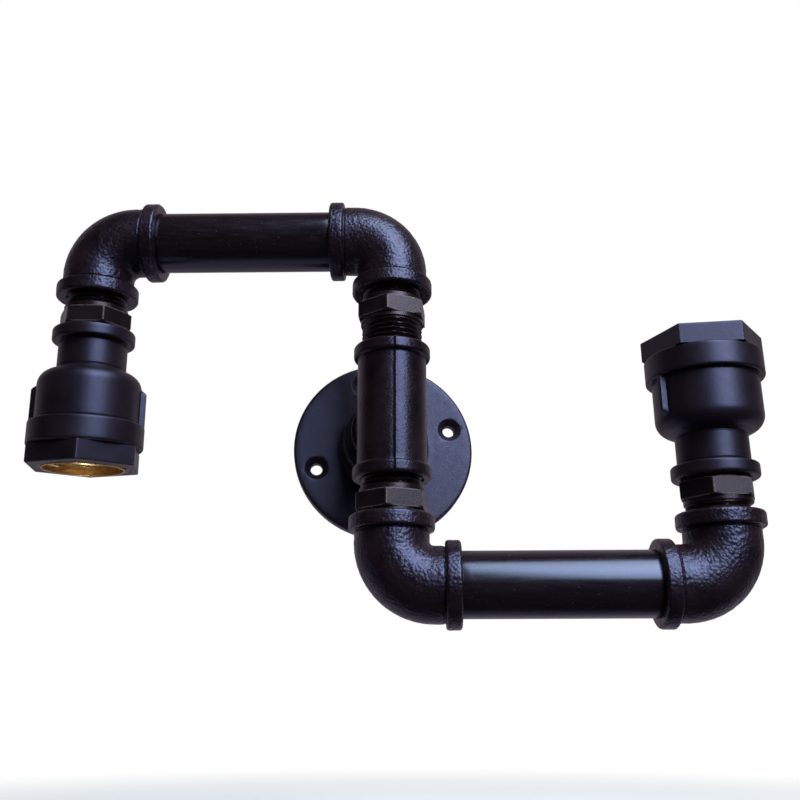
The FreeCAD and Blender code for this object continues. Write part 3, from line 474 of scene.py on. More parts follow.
FINISHES = {
    "fitting_cast": cast_paint("fitting_cast", (0.0040, 0.0015, 0.0024), (0.0100, 0.0048, 0.0062),
                               (0.055, 0.044, 0.050), (0.26, 0.40), 1.0, 0.13, 0.54),
    "tee_cast": cast_paint("tee_cast", (0.0035, 0.0013, 0.0021), (0.0085, 0.0040, 0.0052),
                           (0.055, 0.044, 0.050), (0.26, 0.36), 0.75, 0.045, 0.38),
    "cup_cast": cast_paint("cup_cast", (0.0040, 0.0018, 0.0030), (0.0075, 0.0042, 0.0056),
                           (0.030, 0.025, 0.032), (0.37, 0.43), 0.7, 0.012, 0.48),
    "flange_cast": cast_paint("flange_cast", (0.009, 0.006, 0.009), (0.015, 0.011, 0.016),
                              (0.07, 0.065, 0.08), (0.36, 0.46), 0.9, 0.02, 0.46),
    "nipple_paint": cast_paint("nipple_paint", (0.0035, 0.0020, 0.0026), (0.0070, 0.0045, 0.0054),
                               (0.11, 0.09, 0.10), (0.28, 0.36), 0.5, 0.02, 0.34, MAUVE),
    "pipe_paint": pipe_paint(),
    "shell_brass": sheet_metal("shell_brass", (0.95, 0.72, 0.36), (0.72, 0.50, 0.22), (0.22, 0.38)),
    "contact_bronze": sheet_metal("contact_bronze", (0.72, 0.48, 0.28), (0.5, 0.3, 0.16), (0.28, 0.42)),
    "terminal_brass": sheet_metal("terminal_brass", (0.72, 0.56, 0.30), (0.52, 0.38, 0.18),
                                  (0.3, 0.45), 1.5),
    "rivet_steel": sheet_metal("rivet_steel", (0.62, 0.62, 0.64), (0.42, 0.42, 0.44), (0.25, 0.4), 0.8),
    "holder_insulator": moulded("holder_insulator", (0.82, 0.80, 0.74), (0.72, 0.69, 0.62),
                                (0.5, 0.7), 0.03),
    "ring_insulator": moulded("ring_insulator", (0.045, 0.04, 0.045), (0.03, 0.026, 0.03),
                              (0.3, 0.45), 0.01),
    "sleeve_insulator": moulded("sleeve_insulator", (0.12, 0.10, 0.08), (0.08, 0.065, 0.05),
                                (0.6, 0.8), 0.03),
    "splice_cover": moulded("splice_cover", (0.045, 0.045, 0.05), (0.03, 0.03, 0.032),
                            (0.5, 0.65), 0.04),
    "cable_jacket": moulded("cable_jacket", (0.035, 0.035, 0.038), (0.025, 0.025, 0.027),
                            (0.45, 0.6), 0.02),
    "core_sheath": moulded("core_sheath", (0.13, 0.2, 0.42), (0.1, 0.15, 0.34), (0.35, 0.5), 0.01),
}


def show(obj):
    bpy.context.scene.collection.objects.link(obj)
    return obj


def keep_piece(obj, slot, body, *nodes):
    """A finished piece in its place: its body and the nodes that it stands for, which are hidden; its slot is not
    used.
    """
    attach(obj, body)
    if nodes:
        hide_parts(*nodes)


# Lines, rows and skins, in millimetres

def rounded(corners, steps=6, closed=True):
    """The line through the corners (across, along, rounding), each corner rounded off."""
    line = []
    count = len(corners)
    for index, corner in enumerate(corners):
        here = np.array(corner[:2], float)
        rounding = corner[2] if len(corner) > 2 else 0.0
        ends = not closed and index in (0, count - 1)
        if rounding <= 0 or ends:
            line.append(here)
            continue
        before = np.array(corners[index - 1][:2], float) - here
        after = np.array(corners[(index + 1) % count][:2], float) - here
        lengths = np.linalg.norm(before), np.linalg.norm(after)
        before, after = before / lengths[0], after / lengths[1]
        half = math.acos(max(-1.0, min(1.0, before.dot(after)))) / 2
        reach = min(rounding / math.tan(half), 0.49 * min(lengths))
        radius = reach * math.tan(half)
        middle = before + after
        centre = here + middle / np.linalg.norm(middle) * radius / math.sin(half)
        start, end = here + before * reach - centre, here + after * reach - centre
        sweep = math.pi - 2 * half
        for step in range(steps + 1):
            share = step / steps
            weight = math.sin((1 - share) * sweep), math.sin(share * sweep)
            line.append(centre + (start * weight[0] + end * weight[1]) / math.sin(sweep))
    return np.array(line)


def spread(line, step, closed=True):
    """The same line with no run longer than step."""
    out = []
    count = len(line)
    last = count if closed else count - 1
    for index in range(last):
        start, end = line[index], line[(index + 1) % count]
        parts = max(1, math.ceil(np.linalg.norm(end - start) / step - 1e-6))
        out.extend(start + (end - start) * part / parts for part in range(parts))
    if not closed:
        out.append(line[-1])
    return np.array(out)


def angles_about(coarse, marks=(), fine=0.4, reach=4.0):
    """Angles round a piece, closer together within reach degrees of each mark."""
    base = [360.0 * step / coarse for step in range(coarse)]
    near = []
    for mark in marks:
        count = int(reach / fine)
        near.extend((mark + step * fine) % 360 for step in range(-count, count + 1))
    merged = sorted(near)
    for angle in base:
        gap = min((abs((angle - other + 180) % 360 - 180) for other in merged), default=360)
        if gap > 360.0 / coarse * 0.45 or not near:
            near.append(angle)
    return np.radians(np.array(sorted(set(round(angle, 5) for angle in near))))


def hexagon_radius(angles, width, rounding):
    """Middle to skin of a hexagon with a corner at angle zero and its corners rounded."""
    flat = width / 2
    from_corner = np.abs((angles + math.pi / 6) % (math.pi / 3) - math.pi / 6)
    from_flat = math.pi / 6 - from_corner
    straight = flat / np.cos(from_flat)
    centre = (flat - rounding) / math.cos(math.pi / 6)
    inside = np.maximum(rounding ** 2 - (centre * np.sin(from_corner)) ** 2, 0)
    curved = centre * np.cos(from_corner) + np.sqrt(inside)
    past = flat * np.tan(from_flat) > centre / 2
    return np.where(past, curved, straight)


def skin(name, rows, angles, radii=None):
    """Closed mesh through rings: each row is centre across, centre along, lean and radius."""
    rows = np.asarray(rows, float)
    if radii is None:
        radii = np.repeat(rows[:, 3:4], len(angles), axis=1)
    lean = rows[:, 2:3]
    out = radii * np.cos(angles)
    side = radii * np.sin(angles)
    x = rows[:, 0:1] + out * np.cos(lean)
    z = rows[:, 1:2] + out * np.sin(lean)
    points = np.stack((x, side, z), -1).reshape(-1, 3)
    count, around = radii.shape
    first = np.arange(count * around).reshape(count, around)
    up = np.roll(first, -1, axis=0)
    faces = np.stack((first, np.roll(first, -1, axis=1), np.roll(up, -1, axis=1), up), -1).reshape(-1, 4)
    return mesh_of(name, points, faces)


def mesh_of(name, points, faces):
    """Mesh from points in millimetres, its faces turned outwards."""
    mesh = bpy.data.meshes.new(name + "_finished")
    mesh.from_pydata((np.asarray(points) * MM).tolist(), [], np.asarray(faces).tolist())
    work = bmesh.new()
    work.from_mesh(mesh)
    bmesh.ops.recalc_face_normals(work, faces=work.faces)
    work.to_mesh(mesh)
    work.free()
    return mesh


def smooth_step(value):
    value = np.clip(value, 0, 1)
    return value * value * (3 - 2 * value)


def mark_edges(mesh, values):
    """Says where the edges are lightened, from 0 to 1 at each point: partly worn paint, partly a painted highlight
    line.
    """
    marks = mesh.attributes.new("edge", "FLOAT", "POINT")
    marks.data.foreach_set("value", np.asarray(values, np.float32).ravel())


def straight_rows(line):
    """Rows of a turned piece from its (radius, height) line."""
    rows = np.zeros((len(line), 4))
    rows[:, 1] = line[:, 1]
    rows[:, 3] = line[:, 0]
    return rows


def put(mesh, place, slot, sharp=38.0):
    """The mesh moved to its place, as a shown object with its finish."""
    mesh.transform(place)
    mesh.materials.clear()
    mesh.materials.append(FINISHES[slot])
    mesh.shade_smooth()
    mesh.set_sharp_from_angle(angle=math.radians(sharp))
    mesh.update()
    return show(bpy.data.objects.new(mesh.name, mesh))


def pebble(mesh, size, depth, skin_points):
    """Press a cast skin's pebbles into the mesh, in its own place, where skin_points says."""
    count = len(mesh.vertices)
    points = np.empty(count * 3)
    mesh.vertices.foreach_get("co", points)
    normals = np.empty(count * 3)
    mesh.vertices.foreach_get("normal", normals)
    points = points.reshape(-1, 3)
    normals = normals.reshape(-1, 3)
    amount = np.zeros(count)
    for index in np.nonzero(skin_points)[0]:
        spot = Vector(points[index]) / (size * MM)
        finer_spot = spot * 2.1 + Vector((7, 3, 5))
        lump = noise.noise(spot) * 0.7 + noise.noise(finer_spot) * 0.5
        amount[index] = min(1.0, max(0.0, 0.5 - lump))
    points -= normals * (amount * depth * MM)[:, None]
    mesh.vertices.foreach_set("co", points.ravel())
    mesh.update()


# Helical threads and cuts that repeat round a piece, as geometry nodes

def tree_socket(tree, name, kind, way="INPUT", default=None):
    socket = tree.interface.new_socket(name=name, in_out=way, socket_type=kind)
    if default is not None:
        socket.default_value = default
    return socket.identifier


def thread_tree():
    """Cuts a helical groove along Z into the rings of a turned piece."""
    tree = bpy.data.node_groups.new("helical_thread", "GeometryNodeTree")
    keys = {"Piece": tree_socket(tree, "Piece", "NodeSocketGeometry")}
    for name in ("Start", "End", "Pitch", "Depth", "Least radius", "Most radius", "Roundness"):
        keys[name] = tree_socket(tree, name, "NodeSocketFloat", default=0.0)
    keys["Finish"] = tree_socket(tree, "Finish", "NodeSocketMaterial")
    tree_socket(tree, "Threaded piece", "NodeSocketGeometry", "OUTPUT")
    into = tree.nodes.new("NodeGroupInput").outputs

    def calc(operation, *values):
        return maths(tree, operation, *values)

    place = add(tree, "GeometryNodeInputPosition").outputs[0]
    parts = add(tree, "ShaderNodeSeparateXYZ", {0: place}).outputs
    x, y, z = parts[0], parts[1], parts[2]
    radius = calc("SQRT", calc("ADD", calc("MULTIPLY", x, x), calc("MULTIPLY", y, y)))
    turn = calc("DIVIDE", calc("ARCTAN2", y, x), math.tau)
    phase = calc("FRACT", calc("SUBTRACT", calc("DIVIDE", z, into["Pitch"]), turn))
    slant = calc("ABSOLUTE", calc("SUBTRACT", calc("MULTIPLY", phase, 2.0), 1.0))
    vee = remap(tree, slant, 0.06, 0.94, 1.0, 0.0)
    wave = calc("MULTIPLY_ADD", calc("COSINE", calc("MULTIPLY", phase, math.tau)), -0.5, 0.5)
    sharp_share = calc("MULTIPLY", vee, calc("SUBTRACT", 1.0, into["Roundness"]))
    groove = calc("ADD", sharp_share, calc("MULTIPLY", wave, into["Roundness"]))
    fade = calc("MULTIPLY", into["Pitch"], 0.4)
    enter = remap(tree, z, into["Start"], calc("ADD", into["Start"], fade), 0, 1)
    leave = remap(tree, z, into["End"], calc("SUBTRACT", into["End"], fade), 0, 1)
    above = calc("GREATER_THAN", radius, into["Least radius"])
    below = calc("LESS_THAN", radius, into["Most radius"])
    mask = calc("MULTIPLY", calc("MULTIPLY", enter, leave), calc("MULTIPLY", above, below))
    cut = calc("MULTIPLY", calc("MULTIPLY", groove, into["Depth"]), mask)
    share = calc("DIVIDE", calc("MULTIPLY", cut, -1.0), radius)
    flat = add(tree, "ShaderNodeCombineXYZ", {0: x, 1: y}).outputs[0]
    move = add(tree, "ShaderNodeVectorMath", {0: flat, "Scale": share}, operation="SCALE").outputs[0]
    moved = add(tree, "GeometryNodeSetPosition", {"Geometry": into["Piece"], "Offset": move})
    real = add(tree, "GeometryNodeRealizeInstances", {"Geometry": moved.outputs[0]})
    done = add(tree, "GeometryNodeSetMaterial", {"Geometry": real.outputs[0], "Material": into["Finish"]})
    out = tree.nodes.new("NodeGroupOutput")
    tree.links.new(done.outputs[0], out.inputs[0])
    return tree, keys


def cut_tree():
    """Cuts the same hole or slot out of a piece several times round its axis."""
    tree = bpy.data.node_groups.new("cuts_round_an_axis", "GeometryNodeTree")
    keys = {"Piece": tree_socket(tree, "Piece", "NodeSocketGeometry")}
    keys["Cutter"] = tree_socket(tree, "Cutter", "NodeSocketObject")
    keys["Count"] = tree_socket(tree, "Count", "NodeSocketInt", default=1)
    keys["Circle radius"] = tree_socket(tree, "Circle radius", "NodeSocketFloat", default=0.0)
    keys["First angle"] = tree_socket(tree, "First angle", "NodeSocketFloat", default=0.0)
    keys["Finish"] = tree_socket(tree, "Finish", "NodeSocketMaterial")
    tree_socket(tree, "Cut piece", "NodeSocketGeometry", "OUTPUT")
    into = tree.nodes.new("NodeGroupInput").outputs
    cutter = add(tree, "GeometryNodeObjectInfo", {"Object": into["Cutter"]})
    spots = add(tree, "GeometryNodePoints", {"Count": into["Count"]})
    number = add(tree, "GeometryNodeInputIndex").outputs[0]
    each = maths(tree, "DIVIDE", math.tau, into["Count"])
    angle = maths(tree, "ADD", maths(tree, "MULTIPLY", number, each), into["First angle"])
    across = maths(tree, "MULTIPLY", maths(tree, "COSINE", angle), into["Circle radius"])
    along = maths(tree, "MULTIPLY", maths(tree, "SINE", angle), into["Circle radius"])
    spot = add(tree, "ShaderNodeCombineXYZ", {0: across, 1: along}).outputs[0]
    placed = add(tree, "GeometryNodeSetPosition", {"Geometry": spots.outputs[0], "Position": spot})
    turn = add(tree, "ShaderNodeCombineXYZ", {2: angle}).outputs[0]
    cuts = add(tree, "GeometryNodeInstanceOnPoints", {
        "Points": placed.outputs[0], "Instance": cutter.outputs["Geometry"], "Rotation": turn})
    solid = add(tree, "GeometryNodeRealizeInstances", {"Geometry": cuts.outputs[0]})
    rest = add(tree, "GeometryNodeMeshBoolean", {"Mesh 1": into["Piece"], "Mesh 2": solid.outputs[0]},
               operation="DIFFERENCE", solver="EXACT")
    real = add(tree, "GeometryNodeRealizeInstances", {"Geometry": rest.outputs[0]})
    done = add(tree, "GeometryNodeSetMaterial", {"Geometry": real.outputs[0], "Material": into["Finish"]})
    out = tree.nodes.new("NodeGroupOutput")
    tree.links.new(done.outputs[0], out.inputs[0])
    return tree, keys


def worked(mesh, tree_and_keys, **values):
    """The mesh after one pass of a node tree, as a new plain mesh."""
    tree, keys = tree_and_keys
    obj = show(bpy.data.objects.new(mesh.name, mesh))
    step = obj.modifiers.new("work", "NODES")
    step.node_group = tree
    for name, value in values.items():
        step[keys[name.replace("_", " ")]] = value
    graph = bpy.context.evaluated_depsgraph_get()
    graph.update()
    made = bpy.data.meshes.new_from_object(obj.evaluated_get(graph))
    obj.modifiers.remove(step)
    name = mesh.name
    bpy.data.objects.remove(obj)
    bpy.data.meshes.remove(mesh)
    made.name = name
    return made


THREAD = thread_tree()
CUTS = cut_tree()


def pipe_thread(mesh, start, end, slot):
    """The mesh with a helical pipe thread on its outside between two heights."""
    return worked(mesh, THREAD, Start=start * MM, End=end * MM, Pitch=THREAD_PITCH * MM,
                  Depth=THREAD_DEPTH * MM, Least_radius=(THREAD_CREST - 0.5) * MM,
                  Most_radius=(THREAD_CREST + 0.05) * MM, Roundness=0.15, Finish=FINISHES[slot])


# Wall flange and the nipple behind the tee

def wall_flange():
    line = rounded([
        (SOCKET_RADIUS, 0, 0.4), (FLANGE_RADIUS, 0, 0.4), (FLANGE_RADIUS, FLANGE_THICK, FLANGE_ROUND),
        (HUB_RADIUS, FLANGE_THICK, HUB_BLEND), (HUB_RADIUS, HUB_HEIGHT, HUB_ROUND),
        (SOCKET_RADIUS, HUB_HEIGHT, 0.5)])
    mesh = skin("wall_flange", straight_rows(spread(line, 2.0)), angles_about(144))
    low, high = -1.0, FLANGE_THICK + 1.0
    slope_end = FLANGE_THICK - (COUNTERSINK - SCREW_HOLE)
    drill = spread(rounded([
        (0.01, low), (SCREW_HOLE, low), (SCREW_HOLE, slope_end, 0.3),
        (COUNTERSINK - 0.05, FLANGE_THICK - 0.05, 0.5), (COUNTERSINK + 1.6, FLANGE_THICK + 0.5),
        (COUNTERSINK + 1.6, high), (0.01, high)]), 3.0)
    cutter = bpy.data.objects.new("drill", skin("drill", straight_rows(drill), angles_about(48)))
    show(cutter)
    mesh = worked(mesh, CUTS, Cutter=cutter, Count=SCREW_COUNT, Circle_radius=SCREW_CIRCLE * MM,
                  First_angle=math.radians(SCREW_TURN), Finish=FINISHES["flange_cast"])
    bpy.data.objects.remove(cutter)
    keep_piece(put(mesh, WALL_PLACE, "flange_cast"), "flange_cast", "wall_side", "wall_flange")


def flange_nipple():
    start = HUB_HEIGHT - THREAD_GRIP
    end = TEE_STANDOFF - TEE_BRANCH + THREAD_GRIP
    line = rounded([(CONDUIT_RADIUS, start, 0.3), (THREAD_CREST, start, 0.5), (THREAD_CREST, end, 0.5),
                    (CONDUIT_RADIUS, end, 0.3)])
    mesh = skin("flange_nipple", straight_rows(spread(line, 0.2)), angles_about(96))
    mesh = pipe_thread(mesh, start, end, "nipple_paint")
    keep_piece(put(mesh, WALL_PLACE, "nipple_paint"), "nipple_paint", "wall_side", "flange_nipple")


def feed_cable():
    """Jacket of the supply cable, with its two cores standing out of it at the wall's face."""
    line = rounded([(0.01, FEED_STRIPPED), (CABLE_RADIUS, FEED_STRIPPED, 0.3),
                    (CABLE_RADIUS, FEED_SPLIT, 0.1), (0.01, FEED_SPLIT)])
    jacket = skin("feed_cable", straight_rows(spread(line, 4.0)), angles_about(40))
    keep_piece(put(jacket, WALL_PLACE, "cable_jacket"), "cable_jacket", "wall_side", "feed_cable")
    core_end = FEED_STRIPPED + 1
    line = rounded([(0.01, 0), (CORE_RADIUS, 0, 0.15), (CORE_RADIUS, core_end), (0.01, core_end)])
    for number, way in enumerate((-1, 1)):
        core = skin("feed_core_%d" % (number + 1), straight_rows(line), angles_about(24))
        place = WALL_PLACE @ Matrix.Translation((way * CORE_APART * MM, 0, 0))
        keep_piece(put(core, place, "core_sheath"), "core_sheath", "wall_side")


# Tee, drawn as the zero level of a distance field

def rounded_drum(across, along, radius, low, high, rounding):
    """Distance to a drum with rounded rims, negative inside it."""
    beyond = across - radius + rounding
    past = np.abs(along - (low + high) / 2) - (high - low) / 2 + rounding
    corner = np.sqrt(np.maximum(beyond, 0) ** 2 + np.maximum(past, 0) ** 2)
    return np.minimum(np.maximum(beyond, past), 0) + corner - rounding


def melt(first, second, width):
    """Union of two fields with a fillet."""
    width = np.maximum(width, 0.01)
    share = np.clip(0.5 + 0.5 * (second - first) / width, 0, 1)
    return second * (1 - share) + first * share - width * share * (1 - share)


def tee_field(x, y, z):
    """Distance to the tee's skin, negative in the metal, in millimetres from the tee's centre."""
    from_run = np.hypot(x, y)
    from_branch = np.hypot(x, z)
    fillet = TEE_FILLET * (1 - np.minimum(np.abs(x) / TEE_RADIUS, 1) ** 2)
    run = rounded_drum(from_run, z, TEE_RADIUS, -TEE_REACH, TEE_REACH, TEE_END_ROUND)
    branch = rounded_drum(from_branch, y, TEE_RADIUS, 0, TEE_BRANCH, TEE_END_ROUND)
    body = melt(run, branch, fillet)
    bead = rounded_drum(from_run, np.abs(z), TEE_BEAD, TEE_REACH - TEE_BEAD_WIDTH, TEE_REACH, BEAD_ROUND)
    body = melt(body, bead, TEE_BLEND)
    bead = rounded_drum(from_branch, y, TEE_BEAD, TEE_BRANCH - TEE_BEAD_WIDTH, TEE_BRANCH, BEAD_ROUND)
    body = melt(body, bead, TEE_BLEND)
    run_socket = np.maximum(from_run - SOCKET_RADIUS, TEE_REACH - SOCKET_DEPTH - np.abs(z))
    branch_socket = np.maximum(from_branch - SOCKET_RADIUS, TEE_BRANCH - SOCKET_DEPTH - y)
    run_bore = np.minimum(from_run - PASSAGE_RADIUS, run_socket)
    branch_bore = np.minimum(np.maximum(from_branch - PASSAGE_RADIUS, -y), branch_socket)
    return -melt(-body, np.minimum(run_bore, branch_bore), TEE_BLEND)


def wrap_field(field, xs, ys, zs):
    """Points and faces of the field's zero level, one point in each cell that it crosses."""
    grid = np.meshgrid(xs, ys, zs, indexing="ij")
    values = field(*grid)
    spots = np.stack(grid, -1)
    cells = tuple(size - 1 for size in values.shape)

    def part(array, corner):
        return array[tuple(slice(step, step + size) for step, size in zip(corner, cells))]

    total = np.zeros(cells + (3,))
    count = np.zeros(cells)
    for low in itertools.product((0, 1), repeat=3):
        for axis in range(3):
            if low[axis]:
                continue
            high = tuple(1 if index == axis else step for index, step in enumerate(low))
            first, second = part(values, low), part(values, high)
            crossed = (first < 0) != (second < 0)
            share = (first[crossed] / (first[crossed] - second[crossed]))[:, None]
            total[crossed] += part(spots, low)[crossed] * (1 - share) + part(spots, high)[crossed] * share
            count += crossed
    used = count > 0
    number = np.full(cells, -1)
    number[used] = np.arange(used.sum())
    points = total[used] / count[used][:, None]
    faces = []
    inside = values < 0
    for axis in range(3):
        across, along = (axis + 1) % 3, (axis + 2) % 3
        lower = [slice(1, -1)] * 3
        upper = [slice(1, -1)] * 3
        lower[axis], upper[axis] = slice(0, -1), slice(1, None)
        start = inside[tuple(lower)]
        crossed = np.argwhere(start != inside[tuple(upper)])
        flipped = start[tuple(crossed.T)]
        base = crossed + 1
        base[:, axis] -= 1
        quad = []
        for step_across, step_along in ((-1, -1), (0, -1), (0, 0), (-1, 0)):
            cell = base.copy()
            cell[:, across] += step_across
            cell[:, along] += step_along
            quad.append(number[tuple(cell.T)])
        quad = np.stack(quad, -1)
        quad[~flipped] = quad[~flipped][:, ::-1]
        faces.append(quad)
    return points, np.concatenate(faces)


def settle(field, points, rounds=4):
    """Move points along the field's slope onto its zero level."""
    step = 0.02
    for _ in range(rounds):
        here = field(*points.T)
        slope = np.stack([(field(*(points + shift).T) - field(*(points - shift).T)) / (2 * step)
                          for shift in np.eye(3) * step], -1)
        size = np.maximum((slope ** 2).sum(-1), 0.25)
        move = slope * (here / size)[:, None]
        points = points - np.clip(move, -0.2, 0.2)
    return points


def tee():
    """The tee, with finer columns of cells down its front for the casting seam."""
    step = 0.42
    seam_step = 0.15
    fine = np.arange(-7.5, 8) * seam_step
    wide = np.arange(fine[-1] + step, TEE_BEAD + 2 * step, step)
    xs = np.concatenate((-wide[::-1], fine, wide))
    ys = np.arange(-TEE_BEAD - 1.5 * step, TEE_BRANCH + 2 * step, step)
    zs = np.arange(-TEE_REACH - 1.5 * step, TEE_REACH + 2 * step, step)
    points, faces = wrap_field(tee_field, xs, ys, zs)
    points = settle(tee_field, points)
    from_run = np.hypot(points[:, 0], points[:, 1])
    front = (points[:, 1] < 0) & (from_run > TEE_RADIUS - 0.6)
    groove = SEAM_DEPTH * np.maximum(1 - np.abs(points[:, 0]) / SEAM_HALF, 0)
    points[:, 1] += np.where(front, groove, 0)
    mesh = mesh_of("tee", points, faces)
    from_branch = np.hypot(points[:, 0], points[:, 2])
    skin_points = (from_run > TEE_RADIUS - 0.8) & (from_branch > SOCKET_RADIUS + 0.3)
    skin_points |= (from_run > SOCKET_RADIUS + 0.8) & (points[:, 1] < 0)
    mesh.transform(TEE_PLACE)
    pebble(mesh, *TEE_PEBBLES, skin_points)
    keep_piece(put(mesh, Matrix(), "tee_cast"), "fitting_cast", "tee_group", "tee")


# Elbows

def elbow_rows():
    """Rows along the skin from the leg on X to the leg on Z, then back along the bore."""
    bend = ELBOW_BEND
    arc = bend * math.pi / 2
    straight = ELBOW_REACH - bend
    total = 2 * straight + arc
    half_line = [(SOCKET_RADIUS, 0, 0.35), (ELBOW_BEAD, 0, BEAD_ROUND), (ELBOW_BEAD, ELBOW_BEAD_WIDTH, 0.9),
                 (ELBOW_RADIUS - CREASE, ELBOW_BEAD_WIDTH + 0.3, 0.15),
                 (ELBOW_RADIUS, ELBOW_BEAD_WIDTH + 1.0, 0.8)]
    outer = [(SOCKET_RADIUS, ELBOW_SOCKET_DEPTH, 0)] + half_line
    outer += [(radius, total - along, rounding) for radius, along, rounding in reversed(half_line)]
    outer += [(SOCKET_RADIUS, total - ELBOW_SOCKET_DEPTH, 0)]
    line = spread(rounded(outer, closed=False), 0.42, closed=False)
    rows = [leg_row(radius, along, bend) for radius, along in line]
    inner_bend = ELBOW_REACH - ELBOW_SOCKET_DEPTH
    inner_total = 2 * ELBOW_SOCKET_DEPTH + inner_bend * math.pi / 2
    stations = np.linspace(inner_total - ELBOW_SOCKET_DEPTH, ELBOW_SOCKET_DEPTH, 24)
    rows += [leg_row(PASSAGE_RADIUS, along, inner_bend) for along in stations]
    return np.array(rows), line[:, 0]


def leg_row(radius, along, bend):
    """Row of the elbow's skin at a length along it; the sockets stay straight past the bend's start."""
    straight = ELBOW_REACH - bend
    arc = bend * math.pi / 2
    if radius <= SOCKET_RADIUS + 0.36 and along > 0.5 and bend == ELBOW_BEND:
        from_face = min(along, 2 * straight + arc - along)
        if from_face > 0.5:
            if along < straight + arc / 2:
                return (ELBOW_REACH - from_face, 0, -math.pi / 2, radius)
            return (0, ELBOW_REACH - from_face, -math.pi, radius)
    if along < straight:
        return (ELBOW_REACH - along, 0, -math.pi / 2, radius)
    if along > straight + arc:
        return (0, bend + along - straight - arc, -math.pi, radius)
    turn = (along - straight) / bend
    return (bend - bend * math.sin(turn), bend - bend * math.cos(turn), -math.pi / 2 - turn, radius)


def elbow(name, place, body):
    """An elbow with one leg along its place's X axis and the other along its Z axis."""
    rows, outer = elbow_rows()
    angles = angles_about(176)
    mesh = skin(name, rows, angles)
    mesh.transform(place)
    skin_rows = np.zeros(len(rows), bool)
    skin_rows[:len(outer)] = outer > SOCKET_RADIUS + 0.6
    pebble(mesh, *ELBOW_PEBBLES, np.repeat(skin_rows, len(angles)))
    keep_piece(put(mesh, Matrix(), "fitting_cast"), "fitting_cast", body, name)


# Hex nipples and pipes

def hex_nipple(name, place, before, after, body):
    """A hex nipple from one fitting's face, with bare lengths before and after its hexagon."""
    low = before
    high = before + HEX_LENGTH
    start = -THREAD_GRIP
    end = high + after + THREAD_GRIP
    near = low - min(COLLAR_LENGTH, before)
    far = high + min(COLLAR_LENGTH, after)
    flat = HEX_WIDTH / 2
    outer = rounded([
        (CONDUIT_RADIUS, start, 0.3), (THREAD_CREST, start, 0.5),
        (THREAD_CREST, near), (COLLAR_RADIUS, near, 0.2), (COLLAR_RADIUS, low), (flat, low, 0.25),
        (flat, high, 0.25), (COLLAR_RADIUS, high), (COLLAR_RADIUS, far, 0.2), (THREAD_CREST, far),
        (THREAD_CREST, end, 0.5), (CONDUIT_RADIUS, end, 0.3)], steps=4)
    line = spread(outer, 0.2)
    angles = angles_about(120, [60 * corner for corner in range(6)], 0.5, 3.0)
    radii = np.repeat(line[:, :1], len(angles), axis=1)
    height = line[:, 1:2]
    on_hex = (line[:, :1] > COLLAR_RADIUS) & (height >= low - 1e-6) & (height <= high + 1e-6)
    hexagon = hexagon_radius(angles, HEX_WIDTH, 0.3)[None, :]
    corner = HEX_WIDTH / math.sqrt(3.0)
    from_end = np.minimum(height - low, high - height)
    cone = corner - HEX_CHAMFER + from_end * 2 - 0.05
    shaped = np.minimum(hexagon, cone) + (line[:, :1] - flat)
    radii = np.where(on_hex, shaped, radii)
    mesh = skin(name, straight_rows(line), angles, radii)
    # The hexagon's corners and ends get lighter lines: partly worn paint, partly painted highlight lines where
    # they catch the light
    near_corner = np.clip(1 - np.abs(hexagon - corner) * 3.0, 0, 1) ** 2
    near_end = np.clip(1 - from_end / 0.45, 0, 1)
    mark_edges(mesh, np.where(on_hex, np.maximum(near_corner, near_end), 0))
    mesh = pipe_thread(mesh, start, near, "nipple_paint")
    mesh = pipe_thread(mesh, far, end, "nipple_paint")
    keep_piece(put(mesh, place, "nipple_paint", 30.0), "nipple_paint", body, name)


def pipe(name, place, body):
    """A pipe between two elbows, its rows closer together on its threads."""
    start = ELBOW_REACH
    end = ARM_LENGTH - ELBOW_REACH
    line = rounded([
        (CONDUIT_RADIUS, start - THREAD_GRIP, 0.3), (THREAD_CREST, start - THREAD_GRIP, 0.4),
        (THREAD_CREST, start), (PIPE_RADIUS, start, 0.15), (PIPE_RADIUS, end - TURNING_GAP, 0.15),
        (THREAD_CREST, end - TURNING_GAP), (THREAD_CREST, end + THREAD_GRIP, 0.4),
        (CONDUIT_RADIUS, end + THREAD_GRIP, 0.3)])
    dense = []
    for first, second in zip(line, np.roll(line, -1, axis=0)):
        step = 0.25 if abs(first[0] - THREAD_CREST) < 0.05 else 2.5
        dense.extend(spread(np.array([first, second]), step, closed=False)[:-1])
    mesh = skin(name, straight_rows(np.array(dense)), angles_about(128))
    mesh = pipe_thread(mesh, start - THREAD_GRIP, start, "pipe_paint")
    mesh = pipe_thread(mesh, end, end + THREAD_GRIP, "pipe_paint")
    keep_piece(put(mesh, place @ PIPE_ALONG_X, "pipe_paint"), "pipe_paint", body, name)


# Cups with their lampholders

